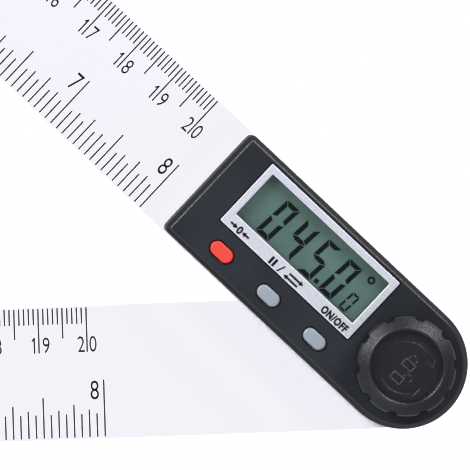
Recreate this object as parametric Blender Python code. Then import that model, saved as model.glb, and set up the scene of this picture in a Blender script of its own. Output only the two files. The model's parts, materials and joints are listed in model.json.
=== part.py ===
"""A digital angle finder: two scaled plastic arms on one pivot, a display head and a lock knob.

Metres, +Z up. The origin is on the pivot's axis, in the plane that the base arm rests on.
The base arm runs along -X. The head arm lies over it, opened by 45 degrees, and carries the
housing with the display. Each arm has its own frame, whose +X runs out along the arm from the
pivot. In the head's frame the display is on the -Y side and the buttons are on the +Y side.
"""

import math

import bmesh
import bpy

# Clearances
SEAT = 0.0001  # between two pieces that are fixed against each other
RUN = 0.0003  # between two pieces that move past each other
JOURNAL_CLEARANCE = 0.0001  # round a shaft that turns in its bore
OVERRUN = 0.001  # how far a cutter passes the face that it opens
ROOT = 0.0004  # how deep a post or boss is sunk in the wall that it grows from

# Arms
OPENING = math.radians(45)
ARM_REACH = 0.265  # from the pivot's axis to the free end, where both scales start
ARM_WIDTH = 0.0275
ARM_THICKNESS = 0.0025
ARM_END_CORNER = 0.0006
ARM_EDGE = 0.0003  # bevel along the arm's edges
ARM_GAP = 0.0003  # between the two arms

# Pivot
FLANGE_RADIUS = 0.0095  # to the hexagon's corners
FLANGE_THICKNESS = 0.001
KEY_RADIUS = 0.0068  # hexagon that stops the hub from turning in the base arm
JOURNAL_RADIUS = 0.005
SPIGOT_RADIUS = 0.0035
STUD_RADIUS = 0.002
STUD_CHAMFER = 0.0004
GROOVE_DEPTH = 0.0006
RETAINER_RADIUS = 0.007
RETAINER_THICKNESS = 0.0005
RETAINER_MOUTH = math.radians(60)
WASHER_RADIUS = 0.0125
WASHER_KEY_GAP = 0.0007  # from the hexagon's corners to the washer's bore
WASHER_RECESS = 0.0004  # how deep the thrust washer sits in the base arm
ROTOR_RADIUS = 0.0105
ROTOR_THICKNESS = 0.0006
ROTOR_GAP = 0.0003  # sensing gap between the rotor and the board

# Housing
HOUSING_REACH = 0.0556  # from the pivot's axis to the square end
HOUSING_WIDTH = 0.0269
HOUSING_WALL = 0.0012
HOUSING_TOP_WALL = 0.0016
HOUSING_CORNER = 0.0012
HOUSING_TOP_CORNER = 0.0005
SLOPE_WIDTH = 0.001  # the sloping edge round the top, seen from above
SLOPE_DROP = 0.0012
POST_RADIUS = 0.0019
POST_FAR_INSET = 0.0036  # from the square end to the axes of the outer posts
POST_SIDE_INSET = 0.0031  # from the housing's side to the posts' axes
POST_ROTOR_GAP = 0.0014

# Display
BEZEL_LENGTH = 0.0362
BEZEL_WIDTH = 0.0161
BEZEL_END_INSET = 0.0073  # from the bezel to the housing's square end
BEZEL_SIDE_INSET = 0.0015  # from the bezel to the housing's side
BEZEL_THICKNESS = 0.001
BEZEL_PROUD = 0.0003
BEZEL_CORNER = 0.0004
BEZEL_EDGE = 0.00015
BEZEL_GAP = 0.00015
MARGIN_SIDE = 0.00157  # bezel's width beside the window
MARGIN_UPPER = 0.0018
MARGIN_LOWER = 0.0031  # the strip that holds the labels
LENS_LAP = 0.0008  # how far the lens passes under the bezel
LCD_LAP = 0.001
LCD_THICKNESS = 0.0015
LCD_FRAME_WALL = 0.0007
REFLECTOR_THICKNESS = 0.0002
STRIP_WIDTH = 0.0012
STRIP_HEIGHT = 0.0009
STRIP_END_GAP = 0.001

# Board and battery
BOARD_STANDOFF = 0.0024  # from the head arm's top to the board's underside
BOARD_THICKNESS = 0.0008
BOARD_MARGIN = 0.0003  # from the board's edge to the housing's wall
BOARD_BORE = 0.006
POST_CLEARANCE = 0.0002
CHIP_RADIUS = 0.003
CHIP_HEIGHT = 0.0006
CELL_RADIUS = 0.01
CELL_THICKNESS = 0.0032
CELL_CAP_RADIUS = 0.0088
CELL_CAP_STEP = 0.0003
CELL_CLEARANCE = 0.0002
CONTACT_SPACE = 0.0006  # between the cell and the board
CONTACT_THICKNESS = 0.0002
CONTACT_WIDTH = 0.004
CONTACT_LENGTH = 0.013
CONTACT_PAD = 0.0015
CLIP_WIDTH = 0.005
CLIP_FOOT = 0.0018
TRAY_ROTOR_GAP = 0.0011
DOOR_RADIUS = 0.0113
DOOR_EAR_RADIUS = 0.0027
DOOR_EAR_DISTANCE = 0.0132  # from the cell's axis to the door screw's
DOOR_EAR_INSET = 0.0054  # from the door screw's axis to the housing's square end
DOOR_EDGE = 0.0002

# Screws
SCREW_HEAD_RADIUS = 0.0017
SCREW_HEAD_HEIGHT = 0.0009
SCREW_RADIUS = 0.0009
SCREW_RECESS_RADIUS = 0.0007
SCREW_RECESS_LOBE = 0.0002
SCREW_RECESS_DEPTH = 0.0004
SCREW_SUNK = 0.0001  # how far a head lies below the face round it
SCREW_GRIP = 0.0045  # length of thread in the housing's post
DOOR_SCREW_GRIP = 0.0018

# Buttons and switches
BUTTON_LENGTH = 0.0055
BUTTON_WIDTH = 0.0031
BUTTON_PROUD = 0.0006
BUTTON_EDGE = 0.0003
BUTTON_GAP = 0.00015
BUTTON_TRAVEL = 0.0005
BUTTON_SIDE_INSET = 0.00465  # from the housing's side to the line of buttons
# Shares of the bezel's length, from its end by the pivot
BUTTON_PLACE_SHARES = {"zero": 0.8674, "hold": 0.50276, "power": 0.14088}
FLANGE_LIP = 0.0007
BUTTON_FLANGE_THICKNESS = 0.0005
BUTTON_FOOT_RADIUS = 0.0012
SWITCH_SIDE = 0.004
SWITCH_HEIGHT = 0.0014
SWITCH_FLOOR = 0.0003
PLUNGER_RADIUS = 0.001
PLUNGER_RISE = 0.0004

# Knob
KNOB_RADIUS = 0.0103
KNOB_HEIGHT = 0.007
KNOB_GAP = 0.0004
KNOB_LOBES = 10
NOTCH_DEPTH = 0.0006
NOTCH_SHARE = 0.36  # share of each lobe's pitch that the notch takes
RIM_FLAT = 0.0004
RIM_DROP = 0.0011
RIM_EDGE = 0.0004
DIAL_RADIUS = 0.0077
DIAL_DEPTH = 0.0013
DIAL_DRAFT = 0.0002
KNOB_WALL = 0.0013
KNOB_FLOOR = 0.0014
BOSS_RADIUS = 0.0048
INSERT_RADIUS = 0.0035
INSERT_LENGTH = 0.0036
BUSH_RADIUS = 0.0032
BUSH_FLANGE_RADIUS = 0.0045
BUSH_FLANGE_THICKNESS = 0.0004
SPRING_WASHER_RADIUS = 0.0042
SPRING_WASHER_WALL = 0.0014
SPRING_WASHER_THICKNESS = 0.0004

# Facets
ROUND_SIDES = 36  # a multiple of six, for the hub's hexagons
SMALL_SIDES = 20
SCREW_SIDES = 12
END_SIDES = 30
CORNER_SIDES = 4
NOTCH_POINTS = 6
SHARP = math.radians(35)

# Levels, from the base arm's underside up
base_top = ARM_THICKNESS
head_bottom = base_top + ARM_GAP
head_top = head_bottom + ARM_THICKNESS
housing_bottom = head_top + SEAT
board_bottom = head_top + BOARD_STANDOFF
board_top = board_bottom + BOARD_THICKNESS
strip_bottom = board_top + SEAT
lcd_bottom = strip_bottom + STRIP_HEIGHT + SEAT
lcd_top = lcd_bottom + LCD_THICKNESS
ceiling = lcd_top + SEAT
housing_top = ceiling + HOUSING_TOP_WALL
bezel_top = housing_top + BEZEL_PROUD
bezel_bottom = bezel_top - BEZEL_THICKNESS
bezel_seat = bezel_bottom - SEAT
cell_top = board_bottom - CONTACT_SPACE
cell_bottom = cell_top - CELL_THICKNESS
door_top = cell_bottom - SEAT
rotor_top = board_bottom - ROTOR_GAP
rotor_bottom = rotor_top - ROTOR_THICKNESS
retainer_bottom = head_top + RUN
bush_seat = housing_top - BUSH_FLANGE_THICKNESS
spring_washer_bottom = housing_top + SEAT + SEAT
knob_bottom = housing_top + KNOB_GAP
knob_top = knob_bottom + KNOB_HEIGHT
dial_floor = knob_top - DIAL_DEPTH
knob_ceiling = dial_floor - KNOB_FLOOR
boss_bottom = spring_washer_bottom + SPRING_WASHER_THICKNESS + SEAT
insert_bottom = boss_bottom + SEAT
insert_top = insert_bottom + INSERT_LENGTH
stud_top = insert_top - SEAT

# Places in the head's frame, and what they are worked out from
housing_half = HOUSING_WIDTH / 2
inner_half = housing_half - HOUSING_WALL
inner_reach = HOUSING_REACH - HOUSING_WALL
bezel_start = HOUSING_REACH - BEZEL_END_INSET - BEZEL_LENGTH
bezel_x = bezel_start + BEZEL_LENGTH / 2
bezel_y = BEZEL_SIDE_INSET + BEZEL_WIDTH / 2 - housing_half
button_y = housing_half - BUTTON_SIDE_INSET
button_places = {
    name: bezel_start + share * BEZEL_LENGTH for name, share in BUTTON_PLACE_SHARES.items()
}
post_side = housing_half - POST_SIDE_INSET
post_far = HOUSING_REACH - POST_FAR_INSET
post_near = math.sqrt((ROTOR_RADIUS + POST_RADIUS + POST_ROTOR_GAP) ** 2 - post_side**2)
posts = [(x, y) for x in (post_near, post_far) for y in (-post_side, post_side)]
ear_x = HOUSING_REACH - DOOR_EAR_INSET
cell_x = ear_x - DOOR_EAR_DISTANCE
washer_bore = KEY_RADIUS + WASHER_KEY_GAP
window_length = BEZEL_LENGTH - 2 * MARGIN_SIDE
window_width = BEZEL_WIDTH - MARGIN_UPPER - MARGIN_LOWER
window_y = bezel_y + (MARGIN_UPPER - MARGIN_LOWER) / 2
lcd_length = window_length + 2 * LCD_LAP
lcd_width = window_width + 2 * LCD_LAP


def material(name, colour, roughness, metallic=0.0):
    """A plain Principled material. The colour is linear RGB."""
    made = bpy.data.materials.new(name)
    made.use_nodes = True
    shader = made.node_tree.nodes["Principled BSDF"]
    shader.inputs["Base Color"].default_value = (*colour, 1.0)
    shader.inputs["Roughness"].default_value = roughness
    shader.inputs["Metallic"].default_value = metallic
    made.diffuse_color = (*colour, 1.0)
    return made


def circle(radius, z, sides=ROUND_SIDES):
    """A level ring of points. Its first point is half a step from +X."""
    step = math.tau / sides
    return [
        (radius * math.cos((i + 0.5) * step), radius * math.sin((i + 0.5) * step), z)
        for i in range(sides)
    ]


def hexagon(corner_radius, z, sides=ROUND_SIDES):
    """A hexagon that has the points of a circle of the same sides."""
    sector = math.tau / 6
    ring = []
    for x, y, _ in circle(1, z, sides):
        angle = math.atan2(y, x) % sector - sector / 2
        radius = corner_radius * math.cos(sector / 2) / math.cos(angle)
        ring.append((radius * x, radius * y, z))
    return ring


def pill(length, width, z, sides=SMALL_SIDES):
    """Two half circles on +X and -X joined by straight sides. Equal sizes give a circle."""
    shift = (length - width) / 2
    ring = []
    for i in range(sides):
        angle = (i + 0.5) * math.tau / sides - math.pi / 2
        end = shift if i < sides / 2 else -shift
        ring.append((end + math.cos(angle) * width / 2, math.sin(angle) * width / 2, z))
    return ring


def arc(centre_x, centre_y, radius, start, end, z, sides):
    """Points from one angle to another, both ends included."""
    angles = [start + (end - start) * i / sides for i in range(sides + 1)]
    return [(centre_x + radius * math.cos(a), centre_y + radius * math.sin(a), z) for a in angles]


def rounded(length, width, corner, z):
    """A rectangle round the origin with rounded corners."""
    x = length / 2 - corner
    y = width / 2 - corner
    turn = math.pi / 2
    ring = []
    for i, (corner_x, corner_y) in enumerate(((x, -y), (x, y), (-x, y), (-x, -y))):
        ring += arc(corner_x, corner_y, corner, (i - 1) * turn, i * turn, z, CORNER_SIDES)
    return ring


def blade(reach, half, corner, z, sides=END_SIDES):
    """An arm's outline: a half circle round the pivot and a square end with small corners."""
    x = reach - corner
    y = half - corner
    turn = math.pi / 2
    ring = arc(x, -y, corner, -turn, 0, z, CORNER_SIDES)
    ring += arc(x, y, corner, 0, turn, z, CORNER_SIDES)
    return ring + arc(0, 0, half, turn, 3 * turn, z, sides)


def teardrop(radius, ear_radius, ear_distance, z):
    """The outline round two circles, the second one on +X."""
    lean = math.acos((radius - ear_radius) / ear_distance)
    ring = arc(ear_distance, 0, ear_radius, -lean, lean, z, SMALL_SIDES // 2)
    return ring + arc(0, 0, radius, lean, math.tau - lean, z, ROUND_SIDES)


def extruded(rings):
    """A closed solid through rings of equal length, from the first one to the last."""
    bm = bmesh.new()
    cap = bm.faces.new([bm.verts.new(point) for point in rings[0]])
    for ring in rings[1:]:
        geom = [cap, *cap.edges, *cap.verts]
        made = bmesh.ops.extrude_face_region(bm, geom=geom)["geom"]
        cap = next(item for item in made if isinstance(item, bmesh.types.BMFace))
        for loop, point in zip(cap.loops, ring):
            loop.vert.co = point
    bmesh.ops.recalc_face_normals(bm, faces=bm.faces)
    return bm


def turned(profile, sides=ROUND_SIDES):
    """A ring of this closed section of radius and height, turned round the Z axis."""
    bm = bmesh.new()
    verts = [bm.verts.new((radius, 0, z)) for radius, z in profile]
    edges = [bm.edges.new((verts[i - 1], verts[i])) for i in range(len(verts))]
    bmesh.ops.spin(
        bm, geom=verts + edges, cent=(0, 0, 0), axis=(0, 0, 1), dvec=(0, 0, 0),
        angle=math.tau, steps=sides, use_merge=True,
    )
    bmesh.ops.recalc_face_normals(bm, faces=bm.faces)
    return bm


def washer(outer, inner, bottom, top, sides=ROUND_SIDES):
    return turned([(outer, bottom), (outer, top), (inner, top), (inner, bottom)], sides)


def box(low, high):
    """A block between two corners."""
    bottom = [(low[0], low[1]), (high[0], low[1]), (high[0], high[1]), (low[0], high[1])]
    return extruded([[(x, y, z) for x, y in bottom] for z in (low[2], high[2])])


def merged(solids):
    """Several separate solids in one mesh, as one cutter needs."""
    bm = bmesh.new()
    for solid in solids:
        mesh = bpy.data.meshes.new("part")
        solid.to_mesh(mesh)
        solid.free()
        bm.from_mesh(mesh)
        bpy.data.meshes.remove(mesh)
    return bm


def moved(bm, x, y, z=0):
    bmesh.ops.translate(bm, verts=bm.verts, vec=(x, y, z))
    return bm


def piece(name, bm, finish, parent, x=0.0, y=0.0):
    """One object of the assembly, with its place in its parent's frame."""
    mesh = bpy.data.meshes.new(name)
    bm.to_mesh(mesh)
    bm.free()
    mesh.shade_smooth()
    mesh.set_sharp_from_angle(angle=SHARP)
    if finish:
        mesh.materials.append(finish)
    made = bpy.data.objects.new(name, mesh)
    bpy.context.scene.collection.objects.link(made)
    made.parent = parent
    made.location = (x, y, 0)
    return made


def combine(target, name, bm, operation):
    """Joins a solid to a piece, or cuts it away. Its place is counted from the piece's own."""
    tool = piece(name, bm, None, target)
    tool.hide_render = True
    tool.display_type = "WIRE"
    modifier = target.modifiers.new(name, "BOOLEAN")
    modifier.operation = operation
    modifier.solver = "EXACT"
    modifier.object = tool


def cut(target, name, bm):
    combine(target, name, bm, "DIFFERENCE")


def add(target, name, bm):
    combine(target, name, bm, "UNION")


def frame(name, angle):
    made = bpy.data.objects.new(name, None)
    made.rotation_euler = (0, 0, angle)
    bpy.context.scene.collection.objects.link(made)
    return made


def arm(name, bottom, finish, parent):
    """A flat arm with bevelled edges and a round end at the pivot."""
    top = bottom + ARM_THICKNESS
    half = ARM_WIDTH / 2
    inner = (ARM_REACH - ARM_EDGE, half - ARM_EDGE, ARM_END_CORNER - ARM_EDGE)
    outer = (ARM_REACH, half, ARM_END_CORNER)
    rings = [blade(*inner, bottom), blade(*outer, bottom + ARM_EDGE)]
    rings += [blade(*outer, top - ARM_EDGE), blade(*inner, top)]
    return piece(name, extruded(rings), finish, parent)


def screw(name, bottom, length, finish, parent, x, y):
    """A countersunk screw that points up, with a four-lobed recess in its head."""
    recess = []
    for px, py, _ in circle(1, bottom, SCREW_SIDES):
        radius = SCREW_RECESS_RADIUS + SCREW_RECESS_LOBE * math.cos(4 * math.atan2(py, px))
        recess.append((radius * px, radius * py, bottom))
    neck = bottom + SCREW_HEAD_HEIGHT
    tip = bottom + length
    rings = [
        [(px, py, bottom + SCREW_RECESS_DEPTH) for px, py, _ in recess],
        recess,
        circle(SCREW_HEAD_RADIUS, bottom, SCREW_SIDES),
        circle(SCREW_RADIUS, neck, SCREW_SIDES),
        circle(SCREW_RADIUS, tip - SCREW_RADIUS / 2, SCREW_SIDES),
        circle(SCREW_RADIUS / 2, tip, SCREW_SIDES),
    ]
    return piece(name, extruded(rings), finish, parent, x, y)


def screw_hole(bottom, top, x, y):
    """The countersunk hole that a screw's head and shank pass through."""
    head = SCREW_HEAD_RADIUS + SEAT
    shank = SCREW_RADIUS + SEAT
    neck = bottom + SCREW_SUNK + SCREW_HEAD_HEIGHT + SEAT
    rings = [
        circle(head, bottom - OVERRUN, SCREW_SIDES),
        circle(head, bottom + SCREW_SUNK + SEAT, SCREW_SIDES),
        circle(shank, neck, SCREW_SIDES),
        circle(shank, top + OVERRUN, SCREW_SIDES),
    ]
    return moved(extruded(rings), x, y)


def build_base_arm(finish, parent):
    """The lower arm, with a hexagonal seat for the hub and a round one for the washer."""
    made = arm("base_arm", 0, finish, parent)
    loose = SEAT / math.cos(math.pi / 6)
    pocket = FLANGE_THICKNESS + SEAT
    cut(made, "hub_seat_cut", extruded([
        hexagon(FLANGE_RADIUS + loose, -OVERRUN),
        hexagon(FLANGE_RADIUS + loose, pocket),
        hexagon(KEY_RADIUS + loose, pocket),
        hexagon(KEY_RADIUS + loose, base_top + OVERRUN),
    ]))
    floor = base_top - WASHER_RECESS
    cut(made, "washer_seat_cut",
        washer(WASHER_RADIUS + SEAT, washer_bore - SEAT, floor, base_top + OVERRUN))


def build_hub(steel, parent):
    """The axle: a keyed flange, a journal for the head arm, the rotor's spigot and the stud."""
    groove = JOURNAL_RADIUS - GROOVE_DEPTH
    groove_top = retainer_bottom + RETAINER_THICKNESS + SEAT
    rings = [
        hexagon(FLANGE_RADIUS, 0),
        hexagon(FLANGE_RADIUS, FLANGE_THICKNESS),
        hexagon(KEY_RADIUS, FLANGE_THICKNESS),
        hexagon(KEY_RADIUS, base_top),
    ]
    steps = [
        (JOURNAL_RADIUS, base_top),
        (JOURNAL_RADIUS, retainer_bottom - SEAT),
        (groove, retainer_bottom - SEAT),
        (groove, groove_top),
        (JOURNAL_RADIUS, groove_top),
        (JOURNAL_RADIUS, rotor_bottom - SEAT),
        (SPIGOT_RADIUS, rotor_bottom - SEAT),
        (SPIGOT_RADIUS, rotor_top),
        (STUD_RADIUS, rotor_top),
        (STUD_RADIUS, stud_top - STUD_CHAMFER),
        (STUD_RADIUS - STUD_CHAMFER, stud_top),
    ]
    rings += [circle(radius, z) for radius, z in steps]
    piece("pivot_hub", extruded(rings), steel, parent)


def build_pivot_rings(steel, polymer, laminate, parent):
    """What sits round the hub and turns with the base arm."""
    floor = base_top - WASHER_RECESS + SEAT
    ring = washer(WASHER_RADIUS, washer_bore, floor, head_bottom - SEAT)
    piece("thrust_washer", ring, polymer, parent)
    groove = JOURNAL_RADIUS - GROOVE_DEPTH + SEAT
    half = RETAINER_MOUTH / 2
    rings = []
    for z in (retainer_bottom, retainer_bottom + RETAINER_THICKNESS):
        outside = arc(0, 0, RETAINER_RADIUS, half, math.tau - half, z, ROUND_SIDES)
        inside = arc(0, 0, groove, math.tau - half, half, z, ROUND_SIDES)
        rings.append(outside + inside)
    piece("retaining_ring", extruded(rings), steel, parent)
    rotor = washer(ROTOR_RADIUS, SPIGOT_RADIUS + SEAT, rotor_bottom, rotor_top)
    piece("encoder_rotor", rotor, laminate, parent)


def build_head_arm(finish, parent):
    """The upper arm, with the journal's bore, the cell's opening and the door's seat."""
    made = arm("head_arm", head_bottom, finish, parent)
    under = head_bottom - OVERRUN
    over = head_top + OVERRUN
    bore = JOURNAL_RADIUS + JOURNAL_CLEARANCE
    cell = CELL_RADIUS + CELL_CLEARANCE
    holes = [extruded([circle(bore, under), circle(bore, over)])]
    holes += [screw_hole(head_bottom, head_top, x, y) for x, y in posts]
    holes.append(moved(extruded([circle(cell, under), circle(cell, over)]), cell_x, 0))
    shank = SCREW_RADIUS + SEAT
    ear_hole = extruded([circle(shank, under, SCREW_SIDES), circle(shank, over, SCREW_SIDES)])
    holes.append(moved(ear_hole, ear_x, 0))
    cut(made, "head_arm_holes_cut", merged(holes))
    outline = (DOOR_RADIUS + SEAT, DOOR_EAR_RADIUS + SEAT, DOOR_EAR_DISTANCE)
    seat = extruded([teardrop(*outline, under), teardrop(*outline, door_top + SEAT)])
    cut(made, "door_seat_cut", moved(seat, cell_x, 0))


def build_battery(tin, steel, finish, parent):
    """The coin cell, its two contacts, the flush door and the door's screw."""
    step = cell_top - CELL_CAP_STEP
    rings = [
        circle(CELL_RADIUS, cell_bottom),
        circle(CELL_RADIUS, step),
        circle(CELL_CAP_RADIUS, step),
        circle(CELL_CAP_RADIUS, cell_top),
    ]
    piece("coin_cell", extruded(rings), tin, parent, cell_x)

    high = board_bottom - SEAT
    low = cell_top + SEAT
    end = CONTACT_LENGTH / 2
    bend = end - CONTACT_PAD
    upper = [(-end, high), (-bend, high), (-CONTACT_PAD, low + CONTACT_THICKNESS),
             (CONTACT_PAD, low + CONTACT_THICKNESS), (bend, high), (end, high)]
    lower = [(x, z - CONTACT_THICKNESS) for x, z in reversed(upper)]
    half = CONTACT_WIDTH / 2
    leaf = extruded([[(x, y, z) for x, z in upper + lower] for y in (half, -half)])
    piece("negative_contact", leaf, tin, parent, cell_x)

    side = CELL_RADIUS + SEAT
    outer = side + CONTACT_THICKNESS
    foot = outer + CLIP_FOOT
    bottom = head_top + RUN
    section = [(side, bottom), (outer, bottom), (outer, high - CONTACT_THICKNESS),
               (foot, high - CONTACT_THICKNESS), (foot, high), (side, high)]
    half = CLIP_WIDTH / 2
    clip = extruded([[(x, y, z) for x, z in section] for y in (half, -half)])
    piece("positive_contact", clip, tin, parent, cell_x)

    outline = (DOOR_RADIUS, DOOR_EAR_RADIUS, DOOR_EAR_DISTANCE)
    inner = (DOOR_RADIUS - DOOR_EDGE, DOOR_EAR_RADIUS - DOOR_EDGE, DOOR_EAR_DISTANCE)
    rings = [
        teardrop(*inner, head_bottom + SEAT),
        teardrop(*outline, head_bottom + SEAT + DOOR_EDGE),
        teardrop(*outline, door_top),
    ]
    door = piece("battery_door", extruded(rings), finish, parent, cell_x)
    cut(door, "door_screw_cut", screw_hole(head_bottom + SEAT, door_top, DOOR_EAR_DISTANCE, 0))
    bottom = head_bottom + SEAT + SCREW_SUNK
    length = head_top - bottom + DOOR_SCREW_GRIP
    screw("battery_door_screw", bottom, length, steel, parent, ear_x, 0)


def build_tray(finish, parent):
    """The moulded tray round the cell, between the head arm and the board."""
    start = ROTOR_RADIUS + TRAY_ROTOR_GAP
    end = inner_reach - BOARD_MARGIN
    half = inner_half - BOARD_MARGIN
    low = head_top + SEAT
    high = board_bottom - SEAT
    made = piece("battery_tray", box((start, -half, low), (end, half, high)), finish, parent)
    cell = CELL_RADIUS + CELL_CLEARANCE
    opening = [circle(cell, low - OVERRUN), circle(cell, high + OVERRUN)]
    holes = [moved(extruded(opening), cell_x, 0)]
    hole = POST_RADIUS + POST_CLEARANCE
    for x, y in posts:
        post = [circle(hole, z, SCREW_SIDES) for z in (low - OVERRUN, high + OVERRUN)]
        holes.append(moved(extruded(post), x, y))
    shank = SCREW_RADIUS + SEAT
    post = [circle(shank, z, SCREW_SIDES) for z in (low - OVERRUN, high + OVERRUN)]
    holes.append(moved(extruded(post), ear_x, 0))
    cut(made, "tray_holes_cut", merged(holes))
    half = CLIP_WIDTH / 2 + SEAT
    notch_end = CELL_RADIUS + CONTACT_THICKNESS + CLIP_FOOT + SEAT + SEAT
    notch = box((0, -half, low - OVERRUN), (notch_end, half, high + OVERRUN))
    cut(made, "clip_notch_cut", moved(notch, cell_x, 0))


def build_board(laminate, epoxy, parent):
    """The main board, with the encoder's fixed plates under it round the pivot, and its chip."""
    outline = (inner_reach - BOARD_MARGIN, inner_half - BOARD_MARGIN, HOUSING_TOP_CORNER)
    board = extruded([blade(*outline, board_bottom), blade(*outline, board_top)])
    made = piece("main_board", board, laminate, parent)
    under = board_bottom - OVERRUN
    over = board_top + OVERRUN
    holes = [extruded([circle(BOARD_BORE, under), circle(BOARD_BORE, over)])]
    hole = POST_RADIUS + POST_CLEARANCE
    for x, y in posts:
        post = extruded([circle(hole, under, SCREW_SIDES), circle(hole, over, SCREW_SIDES)])
        holes.append(moved(post, x, y))
    cut(made, "board_holes_cut", merged(holes))
    low = board_top + SEAT
    rings = [
        circle(CHIP_RADIUS, low, SMALL_SIDES),
        circle(CHIP_RADIUS * math.cos(math.pi / 6), low + CHIP_HEIGHT / 2, SMALL_SIDES),
        circle(CHIP_RADIUS / 2, low + CHIP_HEIGHT, SMALL_SIDES),
    ]
    piece("control_chip", extruded(rings), epoxy, parent, bezel_x, window_y)


def build_display(bezel, clear, glass, foil, finish, rubber, parent):
    """The bezel, the lens, and the display panel on its rubber strips in a frame."""
    outer = (BEZEL_LENGTH, BEZEL_WIDTH, BEZEL_CORNER)
    inner = [size - 2 * BEZEL_EDGE for size in outer[:2]] + [BEZEL_CORNER - BEZEL_EDGE]
    rings = [
        rounded(*outer, bezel_bottom),
        rounded(*outer, bezel_top - BEZEL_EDGE),
        rounded(*inner, bezel_top),
    ]
    made = piece("display_bezel", extruded(rings), bezel, parent, bezel_x, bezel_y)
    rings = [
        rounded(window_length, window_width, BEZEL_CORNER, bezel_bottom - OVERRUN),
        rounded(window_length, window_width, BEZEL_CORNER, bezel_top + OVERRUN),
    ]
    cut(made, "window_cut", moved(extruded(rings), 0, window_y - bezel_y))

    size = (window_length + 2 * LENS_LAP, window_width + 2 * LENS_LAP, BEZEL_CORNER)
    lens = extruded([rounded(*size, ceiling), rounded(*size, bezel_seat)])
    piece("display_lens", lens, clear, parent, bezel_x, window_y)

    size = (lcd_length, lcd_width, BEZEL_EDGE)
    panel = extruded([rounded(*size, lcd_bottom), rounded(*size, lcd_top)])
    piece("lcd_panel", panel, glass, parent, bezel_x, window_y)

    strip_top = strip_bottom + STRIP_HEIGHT
    half = lcd_length / 2 - STRIP_END_GAP
    side = lcd_width / 2
    for name, sign in (("upper", -1), ("lower", 1)):
        edges = sorted((sign * side, sign * (side - STRIP_WIDTH)))
        strip = box((-half, edges[0], strip_bottom), (half, edges[1], strip_top))
        piece("contact_strip_" + name, strip, rubber, parent, bezel_x, window_y)

    half_width = side - STRIP_WIDTH - SEAT
    low = (-half, -half_width, strip_top - REFLECTOR_THICKNESS)
    foil_sheet = box(low, (half, half_width, strip_top))
    piece("lcd_reflector", foil_sheet, foil, parent, bezel_x, window_y)

    rim = lcd_length + 2 * (SEAT + LCD_FRAME_WALL), lcd_width + 2 * (SEAT + LCD_FRAME_WALL)
    low = board_top + SEAT
    high = ceiling - SEAT
    carrier = extruded([rounded(*rim, BEZEL_CORNER, low), rounded(*rim, BEZEL_CORNER, high)])
    made = piece("lcd_frame", carrier, finish, parent, bezel_x, window_y)
    hole = (lcd_length / 2 + SEAT, lcd_width / 2 + SEAT)
    cut(made, "lcd_pocket_cut",
        box((-hole[0], -hole[1], low - OVERRUN), (hole[0], hole[1], high + OVERRUN)))


def build_housing(finish, brass, parent):
    """The cover: a shell that is open below, with posts for its screws and a bush at the pivot."""
    shoulder = housing_top - SLOPE_DROP
    top = (HOUSING_REACH - SLOPE_WIDTH, housing_half - SLOPE_WIDTH, HOUSING_TOP_CORNER)
    side = (HOUSING_REACH, housing_half, HOUSING_CORNER)
    inside = (inner_reach, inner_half, HOUSING_TOP_CORNER)
    rings = [
        blade(*top, housing_top),
        blade(*side, shoulder),
        blade(*side, housing_bottom),
        blade(*inside, housing_bottom),
        blade(*inside, ceiling),
    ]
    made = piece("housing_cover", extruded(rings), finish, parent)

    columns = []
    for x, y in posts:
        rings = [circle(POST_RADIUS, z, SCREW_SIDES) for z in (housing_bottom, ceiling + ROOT)]
        columns.append(moved(extruded(rings), x, y))
    add(made, "posts_join", merged(columns))

    holes = []
    pilot = SCREW_RADIUS + SEAT
    for x, y in posts:
        end = housing_bottom + SCREW_GRIP + SEAT
        rings = [circle(pilot, z, SCREW_SIDES) for z in (housing_bottom - OVERRUN, end)]
        holes.append(moved(extruded(rings), x, y))
    length = BUTTON_LENGTH + 2 * BUTTON_GAP
    width = BUTTON_WIDTH + 2 * BUTTON_GAP
    for x in button_places.values():
        rings = [pill(length, width, z) for z in (ceiling - OVERRUN, housing_top + OVERRUN)]
        holes.append(moved(extruded(rings), x, button_y))
    bush = BUSH_RADIUS + SEAT
    flange = BUSH_FLANGE_RADIUS + SEAT
    holes.append(extruded([
        circle(bush, ceiling - OVERRUN),
        circle(bush, bush_seat - SEAT),
        circle(flange, bush_seat - SEAT),
        circle(flange, housing_top + OVERRUN),
    ]))
    recess = (BEZEL_LENGTH + 2 * BEZEL_GAP, BEZEL_WIDTH + 2 * BEZEL_GAP, BEZEL_CORNER + BEZEL_GAP)
    seat = extruded([rounded(*recess, bezel_seat), rounded(*recess, housing_top + OVERRUN)])
    holes.append(moved(seat, bezel_x, bezel_y))
    cut(made, "housing_holes_cut", merged(holes))

    lap = 2 * (LENS_LAP + SEAT)
    size = (window_length + lap, window_width + lap, BEZEL_CORNER + SEAT)
    opening = [rounded(*size, ceiling - OVERRUN), rounded(*size, bezel_seat + OVERRUN)]
    cut(made, "lens_opening_cut", moved(extruded(opening), bezel_x, window_y))

    bore = STUD_RADIUS + JOURNAL_CLEARANCE
    section = [
        (bore, ceiling),
        (BUSH_RADIUS, ceiling),
        (BUSH_RADIUS, bush_seat),
        (BUSH_FLANGE_RADIUS, bush_seat),
        (BUSH_FLANGE_RADIUS, housing_top),
        (bore, housing_top),
    ]
    piece("pivot_bush", turned(section), brass, parent)


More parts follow.
